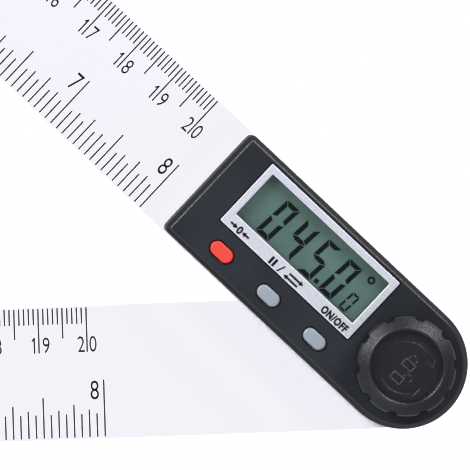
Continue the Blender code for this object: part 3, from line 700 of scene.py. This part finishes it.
def place_nodes(finishes):
    """Gives each carried-over CAD node its finish."""
    for finish, names in finishes:
        for name in names:
            slots = frame["nodes"][name].data.materials
            slots.clear()
            slots.append(finish)


# Polystyrene sheet, white and satin: a cool bright white with no pattern, softly glossy. Its sides
# and edge roundings are duller, and painted greyer as shade, on both arms
white_sheet = grained(
    "white_polystyrene_satin", "#F0EFF3", "#EEECF0", 45, 0.4, 0.002, 0.42, 0.03, IOR=1.55)
for underside in (BASE_BOTTOM, HEAD_BOTTOM):
    between_heights(
        white_sheet, underside + ARM_SIDE_SHADE[0], underside + ARM_SIDE_SHADE[1], "#BDBDC2", 0.6)

# Screen ink: dense black and nearly matt
screen_ink = grained(
    "black_screen_ink", "#08080A", "#0E0E10", 6, 0.25, 0.002, 0.6, 0.05, Specular_IOR_Level=0.15)

# ABS moulded in a spark-eroded tool: charcoal black that scatters light in fine grains. The real
# grain is near 0.1 mm and is drawn at 0.4 mm, so that it shows. Its sides and slope have an even
# roughness and are painted darker as shade; the ridge over them is smoother and painted paler as a
# highlight
black_abs = grained(
    "black_abs_spark_eroded", "#30353E", "#24252C", 18, 0.4, 0.045, 0.5, 0.12,
    IOR=1.53, Specular_IOR_Level=0.25)
between_heights(black_abs, *HOUSING_SIDE_SHADE, "#15171A", 0.5)
between_heights(black_abs, *RIDGE_HIGHLIGHT, "#3A3C41", 0.2)

# Glass-filled nylon, moulded: black with a coarser grain than the housing's. Along the lip it
# is smoother and painted paler, as a highlight
black_nylon = grained(
    "black_nylon_moulded", "#1C1E26", "#13141A", 9, 0.28, 0.07, 0.35, 0.1, IOR=1.53)
between_heights(black_nylon, *LIP_HIGHLIGHT, "#26282E", 0.22)

# Silver lacquer on black ABS: a pale cool grey whose flakes give a fine sparkle. Its edges are
# smoother and painted near-white as a highlight, and its sides and window walls are painted
# near-black as the shade of the gaps round it
silver_lacquer = grained(
    "silver_lacquer", "#C8C9D0", "#BDBEC5", 0.34, 0.22, 0.004, 0.38, 0.08, Metallic=0.15)
between_heights(silver_lacquer, *BEZEL_EDGE_HIGHLIGHT, "#F2F3F8", 0.25)
between_heights(silver_lacquer, *BEZEL_SIDE_SHADE, "#0C0C0E", 0.5)

# Silicone keys with a soft touch: even colour and a broad soft highlight
red_key = grained("red_silicone_key", "#F25148", "#EC4A41", 4, 0.25, 0.004, 0.42, 0.04)
grey_key = grained("grey_silicone_key", "#A0A7AF", "#9AA1A9", 4, 0.25, 0.004, 0.42, 0.04)

# Twisted nematic display glass with its polariser: grey-green with a faint cloudiness
display_glass = grained(
    "display_glass_polariser", "#6C8983", "#5E7B76", 11, 0.5, 0.001, 0.3, 0.03)

# Liquid crystal bars when on: near-black with a blue-green cast and no gloss of their own
crystal_bars = grained(
    "display_bars_on", "#06141A", "#0A1A20", 3, 0.4, 0.001, 0.4, 0.03, Specular_IOR_Level=0.0)

# The next nine are inside and under the head. Conductive rubber in strips: dull and nearly black
rubber = grained("zebra_strip_rubber", "#161616", "#1F1F1F", 2, 0.3, 0.01, 0.75, 0.05)

# Natural acetal, moulded: a waxy off-white
polymer = grained("natural_acetal", "#E4E1D8", "#DCD8CD", 10, 0.3, 0.004, 0.45, 0.05)

# Moulded chip epoxy: black and rather dull, and the plungers and switches are as black
epoxy = grained("black_chip_epoxy", "#141416", "#1B1B1D", 2, 0.2, 0.008, 0.5, 0.06)

# Solder mask over glass fibre board: an even green with a gloss
solder_mask = grained("green_solder_mask", "#1F6B3A", "#1A5F33", 3, 0.5, 0.006, 0.3, 0.05)

# Zinc plate on steel: a cool bright grey
zinc_steel = grained(
    "zinc_plated_steel", "#C3C5C9", "#B4B7BD", 2.5, 0.3, 0.004, 0.3, 0.08, Metallic=1.0)

# Tinned spring steel: brighter and warmer than zinc
tinned_steel = grained(
    "tinned_spring_steel", "#D2D2CE", "#C6C6C2", 3, 0.25, 0.003, 0.25, 0.06, Metallic=1.0)

# Nickel plate on the cell's pressed can: smooth, with a touch of yellow
cell_steel = grained(
    "nickelled_cell_can", "#CFCDC8", "#C4C2BD", 4, 0.2, 0.003, 0.22, 0.05, Metallic=1.0)

# Brass as it leaves the lathe: gold-coloured and half polished
turned_brass = grained(
    "turned_brass", "#C9A35A", "#BC9650", 2, 0.18, 0.004, 0.28, 0.07, Metallic=1.0)

# Reflecting foil behind the display: an even bright silver
silver_foil = grained(
    "reflector_foil", "#D8D8D8", "#CCCCCC", 3, 0.4, 0.003, 0.3, 0.06, Metallic=1.0)

# Clear acrylic: only its surface shows, as a reflection that grows towards a slant
acrylic, acrylic_tree, acrylic_shader = new_material(
    "clear_acrylic", Base_Color=linear("#FFFFFF"), Metallic=1.0, Roughness=0.05)
slant = add_node(acrylic_tree, "ShaderNodeLayerWeight", {"Blend": 0.5}).outputs["Facing"]
growth = add_node(acrylic_tree, "ShaderNodeMath", operation="POWER")
acrylic_tree.links.new(slant, growth.inputs[0])
growth.inputs[1].default_value = ACRYLIC_POWER
pane = add_node(acrylic_tree, "ShaderNodeMapRange", {
    "Value": growth.outputs["Value"], "To Min": ACRYLIC_SHARE, "To Max": 1.0})
acrylic_tree.links.new(pane.outputs["Result"], acrylic_shader.inputs["Alpha"])


# Pieces

def make_piece(name, bm, body, finish, replaced=(), sharp=SHARP):
    """Puts a finished shape on its body, in place of the CAD nodes that it stands for."""
    bm.transform({"base": BASE_FRAME, "lock_knob": KNOB_FRAME}.get(body, HEAD_FRAME))
    bmesh.ops.scale(bm, vec=(MM, MM, MM), verts=bm.verts)
    bmesh.ops.recalc_face_normals(bm, faces=bm.faces)
    mesh = mesh_of(bm, name)
    mesh.materials.append(finish)
    mesh.shade_smooth()
    mesh.set_sharp_from_angle(angle=sharp)
    made = new_object(name, mesh)
    even = made.modifiers.new("flat faces shade flat", "WEIGHTED_NORMAL")
    even.keep_sharp = True
    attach(made, body)
    if replaced:
        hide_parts(*replaced)


def arm_plate(bottom):
    """An arm with its edges rounded top and bottom."""
    top = bottom + ARM_THICKNESS
    plate = rise(blade(ARM_REACH, ARM_HALF, ARM_CORNER, bottom), (ARM_THICKNESS, 0))
    rims = (level(bottom), level(top))
    return rounded_edges(plate, lambda a, b: any(rim(a, b) for rim in rims), ARM_EDGE)


def build_arms():
    """Both arms, with the seats of what the base holds and the holes under the head."""
    base = arm_plate(BASE_BOTTOM)
    under, over = BASE_BOTTOM - OVERRUN, ARM_THICKNESS + OVERRUN
    base = carved(base, hexagon(FLANGE_SEAT, under, FLANGE_DEPTH))
    base = carved(base, hexagon(KEY_SEAT, under, over))
    outer, inner = WASHER_SEAT
    low, high = ARM_THICKNESS - WASHER_DEPTH, over
    ring = turned([(outer, low), (outer, high), (inner, high), (inner, low)], closed=True)
    base = carved(base, ring)
    make_piece("base_blade", base, "base", white_sheet, ["base_arm"])

    head = arm_plate(HEAD_BOTTOM)
    under, over = HEAD_BOTTOM - OVERRUN, HEAD_TOP + OVERRUN
    near, far = (HEAD_BOTTOM + depth for depth in SCREW_CONE)
    holes = [column(PIVOT_BORE, under, over)]
    for x in POST_X:
        for y in (-POST_Y, POST_Y):
            profile = [(0, under), (SCREW_HEAD, under), (SCREW_HEAD, near),
                       (SCREW_SHANK, far), (SCREW_SHANK, over), (0, over)]
            holes.append(at(turned(profile, SMALL_STEPS), x, y))
    head = carved(head, together(holes))
    head = carved(head, at(column(CELL_HOLE, under, over), CELL_X))
    head = carved(head, at(column(SCREW_SHANK, under, over, SMALL_STEPS), EAR_X))
    head = carved(head, rise(eared(under), (DOOR_TOP - under, 0)))
    make_piece("head_blade", head, "head", white_sheet, ["head_arm"])


def scale_print():
    """Both scales of an arm, with their numbers."""
    bm = bmesh.new()
    for count in range(1, CM_COUNT + 1):
        x = ARM_REACH - count
        end = next(end for length, end in CM_ENDS.items() if count % length == 0)
        bar(bm, LINE, CM_EDGE - end, x, -(CM_EDGE + end) / 2)
    for part in range(1, INCH_COUNT * INCH_PARTS + 1):
        x = ARM_REACH - part * INCH / INCH_PARTS
        end = INCH_ENDS[math.gcd(part, INCH_PARTS)]
        bar(bm, LINE, INCH_EDGE - end, x, (INCH_EDGE + end) / 2)
    return bm


def figure(digit, height):
    """One digit of a scale. The letter for 1 is a bare stem, so it gets its short stroke here."""
    bm = letters(digit, height, DIGIT_WIDTH_SHARE, DIGIT_WEIGHT)
    if digit == "1":
        across, down = (length * height / CM_DIGIT for length in FLAG)
        bar(bm, math.hypot(across, down), LINE, -across / 2, height - down / 2 - FLAG_DROP,
            math.atan2(down, across))
    return bm


def number_print():
    """The numbers of both scales: a centimetre number stands astride its line."""
    bm = bmesh.new()
    for number in range(1, CM_COUNT // CM + 1):
        x = ARM_REACH - CM * number
        gap = CM_DIGIT_GAP + (ONE_GAP if 10 <= number < 20 else 0)
        for side, digit in zip((1, -1), str(number)):
            part = figure(digit, CM_DIGIT)
            left, right = span(part, 0)
            put(bm, part, x + side * gap + (right if side > 0 else left), -CM_ENDS[CM])
    for number in range(1, INCH_COUNT + 1):
        part = figure(str(number), INCH_DIGIT)
        x = ARM_REACH - number * INCH + INCH_DIGIT_GAP + span(part, 0)[1]
        put(bm, part, x, INCH_DIGIT_TOP + INCH_DIGIT)
    return bm


def build_print():
    """The lines and the numbers of both arms."""
    for body, top in (("base", ARM_THICKNESS), ("head", HEAD_TOP)):
        lines = at(thicken(scale_print(), INK), 0, 0, top)
        make_piece(body + "_scale_lines", lines, body, screen_ink)
        numbers = at(thicken(number_print(), INK), 0, 0, top)
        make_piece(body + "_scale_numbers", numbers, body, screen_ink)


def build_housing():
    """The cover: a hollow shell with a sloping edge, posts, and its holes for what shows."""
    outline = blade(HOUSING_REACH, HOUSING_HALF, HOUSING_CORNER, HOUSING_BOTTOM)
    shell = rise(outline, (SHOULDER - HOUSING_BOTTOM, 0), (HOUSING_TOP - SHOULDER, SLOPE_WIDTH))
    rounded_edges(shell, level(HOUSING_TOP), RIDGE, steps=1)
    rounded_edges(shell, level(SHOULDER), SHOULDER_ROUND)
    inner = blade(HOUSING_REACH - HOUSING_WALL, HOUSING_HALF - HOUSING_WALL, INNER_CORNER,
                  HOUSING_BOTTOM - OVERRUN)
    shell = carved(shell, rise(inner, (CEILING - HOUSING_BOTTOM + OVERRUN, 0)))

    posts, holes = [], []
    for x in POST_X:
        for y in (-POST_Y, POST_Y):
            post = column(POST_RADIUS, HOUSING_BOTTOM, CEILING + POST_ROOT, SMALL_STEPS)
            pilot = column(PILOT_RADIUS, HOUSING_BOTTOM - OVERRUN, PILOT_END, SMALL_STEPS)
            posts.append(at(post, x, y))
            holes.append(at(pilot, x, y))
    shell = carved(shell, together(posts), "UNION")

    under, over = CEILING - OVERRUN, HOUSING_TOP + OVERRUN
    length, width = (side + 2 * BUTTON_GAP for side in BUTTON_SIZE)
    for x in BUTTON_X.values():
        radius = width / 2
        profile = [(0, under), (radius, under), (radius, HOUSING_TOP - HOLE_EDGE),
                   (radius + HOLE_EDGE + OVERRUN, over), (0, over)]
        holes.append(at(stretched(turned(profile), length - width), x, BUTTON_Y))
    bush, flange = BUSH_HOLE
    holes.append(turned([(0, under), (bush, under), (bush, BUSH_SEAT), (flange, BUSH_SEAT),
                         (flange, over), (0, over)]))
    seat = [side + 2 * BEZEL_GAP for side in BEZEL_SIZE]
    recess = panel(*seat, BEZEL_CORNER + BEZEL_GAP, BEZEL_BOTTOM - SEAT, BEZEL_X, BEZEL_Y)
    holes.append(rise(recess, (over - BEZEL_BOTTOM + SEAT, 0)))
    shell = carved(shell, together(holes))
    opening = [side + 2 * LENS_LAP for side in WINDOW_SIZE]
    window = panel(*opening, BEZEL_CORNER, under, BEZEL_X, WINDOW_Y)
    shell = carved(shell, rise(window, (over - under, 0)))
    make_piece("housing_shell", shell, "head", black_abs, ["housing_cover"],
               sharp=RIDGE_SHARP)


def build_bezel():
    """The bezel, with its window flared outwards."""
    rim = rise(panel(*BEZEL_SIZE, BEZEL_CORNER, BEZEL_BOTTOM, BEZEL_X, BEZEL_Y),
               (BEZEL_TOP - BEZEL_BOTTOM, 0))
    rounded_edges(rim, level(BEZEL_TOP), BEZEL_EDGE, steps=2)
    flare = 2 * BEZEL_EDGE
    mouth = [side + 2 * flare for side in WINDOW_SIZE]
    hole = panel(*mouth, BEZEL_CORNER + flare, BEZEL_TOP + BEZEL_EDGE, BEZEL_X, WINDOW_Y)
    rim = carved(rim, rise(hole, (-flare, flare), (BEZEL_BOTTOM - BEZEL_TOP - OVERRUN, 0)))
    make_piece("bezel_frame", rim, "head", silver_lacquer, ["display_bezel"])


def build_display_bars():
    """The lit bars of the display: four digits, a point, a degree ring and a small digit."""
    bm = bmesh.new()
    for index, digit in enumerate(READOUT):
        lit = display_digit(digit, *DIGIT_SIZE, DIGIT_STROKE)
        put(bm, lit, DIGIT_X - index * DIGIT_PITCH, DIGIT_Y)
    put(bm, display_digit(SMALL_READOUT, *SMALL_SIZE, SMALL_STROKE), *SMALL_PLACE)
    bar(bm, POINT_SIDE, POINT_SIDE, *POINT_PLACE)
    radius, stroke = DEGREE_RADII
    band(bm, radius - stroke / 2, stroke, 0, math.tau, *DEGREE_PLACE)
    thicken(bm, DIGIT_FILM)
    at(bm, 0, 0, LCD_TOP + DIGIT_LIFT)
    make_piece("display_bars", bm, "head", crystal_bars)


def build_labels():
    """Plain signs over the buttons: a nought between arrows, bars and a pair of arrows, ON/OFF."""
    bm = bmesh.new()

    sign = letters("0", LABEL_HEIGHT, 1.0, LABEL_WEIGHT)
    at(sign, 0, -LABEL_HEIGHT / 2)
    length, x = NOUGHT_ARROW
    for side in (-1, 1):
        bar(sign, length, LABEL_STROKE, side * x, 0)
        arrowhead(sign, SIGN_HEAD, side * NOUGHT_HEAD_X, 0, math.pi / 2 * side)
    put(bm, sign, ZERO_X, LABEL_Y)

    sign = bmesh.new()
    for x in TWO_BARS_X:
        bar(sign, LABEL_STROKE * TWO_BARS_SHARE, LABEL_HEIGHT, x, 0)
    length, stroke = LABEL_HEIGHT * SLASH_SHARES[0], LABEL_STROKE * SLASH_SHARES[1]
    bar(sign, length, stroke, SLASH_X, 0, SLASH_TURN)
    for side in (-1, 1):
        bar(sign, PAIR_LENGTH, LABEL_STROKE, PAIR_X, side * PAIR_Y)
        head_x = PAIR_X + side * PAIR_HEAD_X
        arrowhead(sign, SIGN_HEAD, head_x, side * PAIR_Y, -math.pi / 2 * side)
    put(bm, sign, HOLD_X, LABEL_Y)

    sign = letters("ON/OFF", LABEL_HEIGHT, POWER_WIDTH_SHARE, POWER_WEIGHT, POWER_SPACING)
    at(sign, 0, -LABEL_HEIGHT / 2)
    put(bm, sign, POWER_X, LABEL_Y)

    thicken(bm, LABEL_FILM)
    at(bm, 0, 0, BEZEL_TOP)
    make_piece("bezel_signs", bm, "head", screen_ink)


def build_buttons():
    """The three pills, each with a lip under the housing and a foot on its plunger."""
    length, width = BUTTON_SIZE
    radius = width / 2
    low, high = BUTTON_LIP_LEVELS
    for name, x in BUTTON_X.items():
        profile = [
            (0, BUTTON_FOOT_BOTTOM), (BUTTON_FOOT, BUTTON_FOOT_BOTTOM), (BUTTON_FOOT, low),
            (radius + BUTTON_LIP, low), (radius + BUTTON_LIP, high), (radius, high),
        ]
        for step in range(BUTTON_STEPS + 1):
            angle = math.pi / 2 * step / BUTTON_STEPS
            profile.append((radius - BUTTON_ROUND * (1 - math.cos(angle)),
                            BUTTON_TOP - BUTTON_ROUND * (1 - math.sin(angle))))
        profile.append((0, BUTTON_TOP))
        cap = at(stretched(turned(profile), length - width), x, BUTTON_Y)
        finish, slot = (red_key, "red_plastic") if name == "zero" else (grey_key, "grey_plastic")
        make_piece(name + "_key", cap, name + "_button", finish, [name + "_button"])


def dial_arrow(bm, start, sweep):
    """A curved arrow round the dial."""
    last = band(bm, ARROW_RADIUS, ARROW_WIDTH, start, sweep)[1][0]
    end = Matrix.Rotation(start + sweep, 3, "Z")
    ahead = math.copysign(ARROW_HEAD, sweep)
    corners = [(ARROW_RADIUS - ARROW_WING, 0, 0), (ARROW_RADIUS + ARROW_WING, 0, 0),
               (ARROW_RADIUS - ARROW_DROOP, ahead, 0)]
    head = [bm.verts.new(end @ Vector(corner)) for corner in corners]
    bmesh.ops.contextual_create(bm, geom=[*last.verts, *head])


def padlock(bm, y, swing):
    """A padlock's sign under this height. The swing moves an open shackle aside."""
    body = bmesh.new()
    bar(body, *LOCK_SIZE, 0, 0)
    framed(body, MARK_STROKE)
    put(bm, body, 0, y - LOCK_SIZE[1] / 2, KNOB_FRAME)
    foot = y + LOCK_GAP + SHACKLE_LEG
    first, last = band(bm, SHACKLE_RADIUS, MARK_STROKE, 0, math.pi, swing, foot)
    legs = bmesh.ops.extrude_edge_only(bm, edges=[first, *last])["geom"]
    bmesh.ops.translate(bm, vec=(0, -SHACKLE_LEG, 0), verts=only(BMVert, legs))


def notched(grip):
    """Cuts the notches straight down the grip's side, each with smooth shoulders."""
    pitch = math.tau / KNOB_LOBES
    half = pitch * NOTCH_SHARE / 2
    for vert in grip.verts:
        angle = math.atan2(vert.co.y, vert.co.x)
        away = abs((angle + pitch / 2) % pitch - pitch / 2)
        share = min(1.0, max(0.0, (half - away) / (half / 2)))
        limit = KNOB_RADIUS - NOTCH_DEPTH * share * share * (3 - 2 * share)
        radius = math.hypot(vert.co.x, vert.co.y)
        if radius > limit:
            bmesh.ops.scale(grip, vec=(limit / radius, limit / radius, 1), verts=[vert])
    return grip


def build_knob():
    """The lobed knob with a coned rim, and the signs sunk in its dial."""
    profile = [
        *((radius, DIAL_FLOOR + height) for radius, height in DIAL_FOOT),
        *((radius, KNOB_TOP - depth) for radius, depth in RIM),
        (KNOB_RADIUS, KNOB_SIDE_RING), (KNOB_RADIUS, KNOB_BOTTOM + KNOB_FOOT_EDGE),
        (KNOB_RADIUS - KNOB_FOOT_EDGE, KNOB_BOTTOM), (CAVITY_RADIUS, KNOB_BOTTOM),
        (CAVITY_RADIUS, KNOB_CEILING), (BOSS_RADIUS, KNOB_CEILING), (BOSS_RADIUS, BOSS_BOTTOM),
        (INSERT_HOLE, BOSS_BOTTOM), (INSERT_HOLE, INSERT_TOP), (0, INSERT_TOP),
    ]
    grip = notched(turned(profile, KNOB_STEPS))
    signs = bmesh.new()
    for y, swing in LOCK_PLACES:
        padlock(signs, y, swing)
    signs.transform(Matrix.Rotation(-OPENING, 4, "Z"))
    for start, sweep in ARROWS:
        dial_arrow(signs, start, sweep)
    at(face_up(signs), 0, 0, DIAL_FLOOR)
    wall = set(grip.faces)
    put(grip, signs, 0, 0, KNOB_FRAME)
    marks = [face for face in grip.faces if face not in wall]
    bmesh.ops.triangle_fill(
        grip, use_beauty=True, edges=[edge for edge in grip.edges if edge.is_boundary])
    bmesh.ops.inset_region(
        grip, faces=marks, thickness=MARK_SLOPE, depth=-MARK_DEPTH, use_even_offset=True)
    make_piece("knob_grip", grip, "lock_knob", black_nylon, ["lock_knob"],
               sharp=RIDGE_SHARP)


build_arms()
build_print()
build_housing()
build_bezel()
build_display_bars()
build_labels()
build_buttons()
build_knob()

place_nodes((
    (zinc_steel, ["pivot_hub", "retaining_ring", "spring_washer", "battery_door_screw",
                  "housing_screw_1", "housing_screw_2", "housing_screw_3", "housing_screw_4"]),
    (polymer, ["thrust_washer", "battery_tray", "lcd_frame"]),
    (solder_mask, ["encoder_rotor", "main_board"]),
    (turned_brass, ["knob_insert", "pivot_bush"]),
    (acrylic, ["display_lens"]),
    (display_glass, ["lcd_panel"]),
    (silver_foil, ["lcd_reflector"]),
    (rubber, ["contact_strip_upper", "contact_strip_lower"]),
    (epoxy, ["control_chip", "zero_plunger", "hold_plunger", "power_plunger",
             "zero_switch", "hold_switch", "power_switch"]),
    (cell_steel, ["coin_cell"]),
    (tinned_steel, ["positive_contact", "negative_contact"]),
    (white_sheet, ["battery_door"]),
))


# Floor, light and camera, in metres

FLOOR_HALF = 6.0
FLOOR_DROP = 0.0001  # under the tool, so that the two share no plane
floor_shape = bmesh.new()
bmesh.ops.create_grid(floor_shape, x_segments=1, y_segments=1, size=FLOOR_HALF)
at(floor_shape, 0, 0, -FLOOR_DROP)
floor = new_object("floor", mesh_of(floor_shape, "floor"))
# Opal acrylic lit from below, as a light table is: white with no edge to its shadows
opal = new_material(
    "opal_acrylic", Base_Color=linear("#9A9A9C"), Roughness=0.6,
    Emission_Color=linear("#FFFFFF"), Emission_Strength=0.9)[0]
floor.data.materials.append(opal)

LIGHTS = (
    # Name, place, side and watts: two softboxes over the picture's upper corners, and a wide fill
    ("softbox_left", (-0.9, 0.78, 0.82), 0.52, 11.2),
    ("softbox_right", (0.72, 0.86, 0.8), 0.52, 9.0),
    ("fill", (-0.6, -0.8, 1.2), 1.7, 6.2),
)
AIM = Vector((-0.03, 0.02, 0.0))
for name, spot, side, watts in LIGHTS:
    lamp = bpy.data.lights.new(name, "AREA")
    lamp.size = side
    lamp.energy = watts
    holder = new_object(name, lamp)
    holder.location = spot
    holder.rotation_euler = (AIM - Vector(spot)).to_track_quat("-Z", "Y").to_euler()

# A pale tent round the table, with a dark opening overhead for the camera
TENT_LIGHT = 0.44
HOLE_HEIGHTS = (0.88, 0.97)  # where that opening starts and ends, as heights on a unit dome
HOLE_SHARE = 0.3  # of the tent's light
world = bpy.data.worlds.new("studio")
bpy.context.scene.world = world
world.use_nodes = True
tent = world.node_tree.nodes["Background"]
tent.inputs["Color"].default_value = linear("#F6F6F8")
way = add_node(world.node_tree, "ShaderNodeTexCoord").outputs["Generated"]
height = add_node(world.node_tree, "ShaderNodeSeparateXYZ", {"Vector": way}).outputs["Z"]
glow = add_node(world.node_tree, "ShaderNodeMapRange", {
    "Value": height, "From Min": HOLE_HEIGHTS[0], "From Max": HOLE_HEIGHTS[1],
    "To Min": TENT_LIGHT, "To Max": TENT_LIGHT * HOLE_SHARE})
world.node_tree.links.new(glow.outputs["Result"], tent.inputs["Strength"])

# The camera's place and roll, from the known points of the object in the photograph
EYE = Vector((-98.3, 72.7, 1100.0)) * MM
TARGET = Vector((-33.67, 27.65, 5.3)) * MM
ROLL = 0.031
LENS = 405.13  # millimetres, as the sensor's width is
SENSOR = 36.0
CLIP_START, CLIP_END = 0.05, 50.0
camera_data = bpy.data.cameras.new("camera")
camera_data.lens = LENS
camera_data.sensor_width = SENSOR
camera_data.clip_start = CLIP_START
camera_data.clip_end = CLIP_END
camera = new_object("camera", camera_data)
back = (EYE - TARGET).normalized()
right = Vector((math.sin(ROLL), math.cos(ROLL), 0)).cross(back).normalized()
up = back.cross(right)
camera.matrix_world = Matrix.Translation(EYE) @ Matrix((right, up, back)).transposed().to_4x4()
bpy.context.scene.camera = camera
bpy.context.scene.view_settings.view_transform = "Standard"

# The picture's finish: bright tones are drawn together towards white, as in a product photograph,
# a little more in blue than in green
PALE_CURVE = ((0.4, 0.41), (0.57, 0.74))
BRIGHT_CURVES = (
    ((0.64, 0.88), (0.92, 0.91), (0.96, 0.928)),
    ((0.64, 0.865), (0.92, 0.893), (0.96, 0.912)),
    ((0.64, 0.91), (0.92, 0.948), (0.96, 0.957)),
)
bpy.context.scene.use_nodes = True
finish = bpy.context.scene.node_tree
finish.nodes.clear()
picture = add_node(finish, "CompositorNodeRLayers").outputs["Image"]
toned = add_node(finish, "CompositorNodeCurveRGB", {"Image": picture})
for curve, brightest in zip(toned.mapping.curves, BRIGHT_CURVES):
    for point in PALE_CURVE + brightest:
        curve.points.new(*point)
toned.mapping.extend = "HORIZONTAL"
toned.mapping.update()
add_node(finish, "CompositorNodeComposite", {"Image": toned.outputs["Image"]})

bpy.context.view_layer.update()
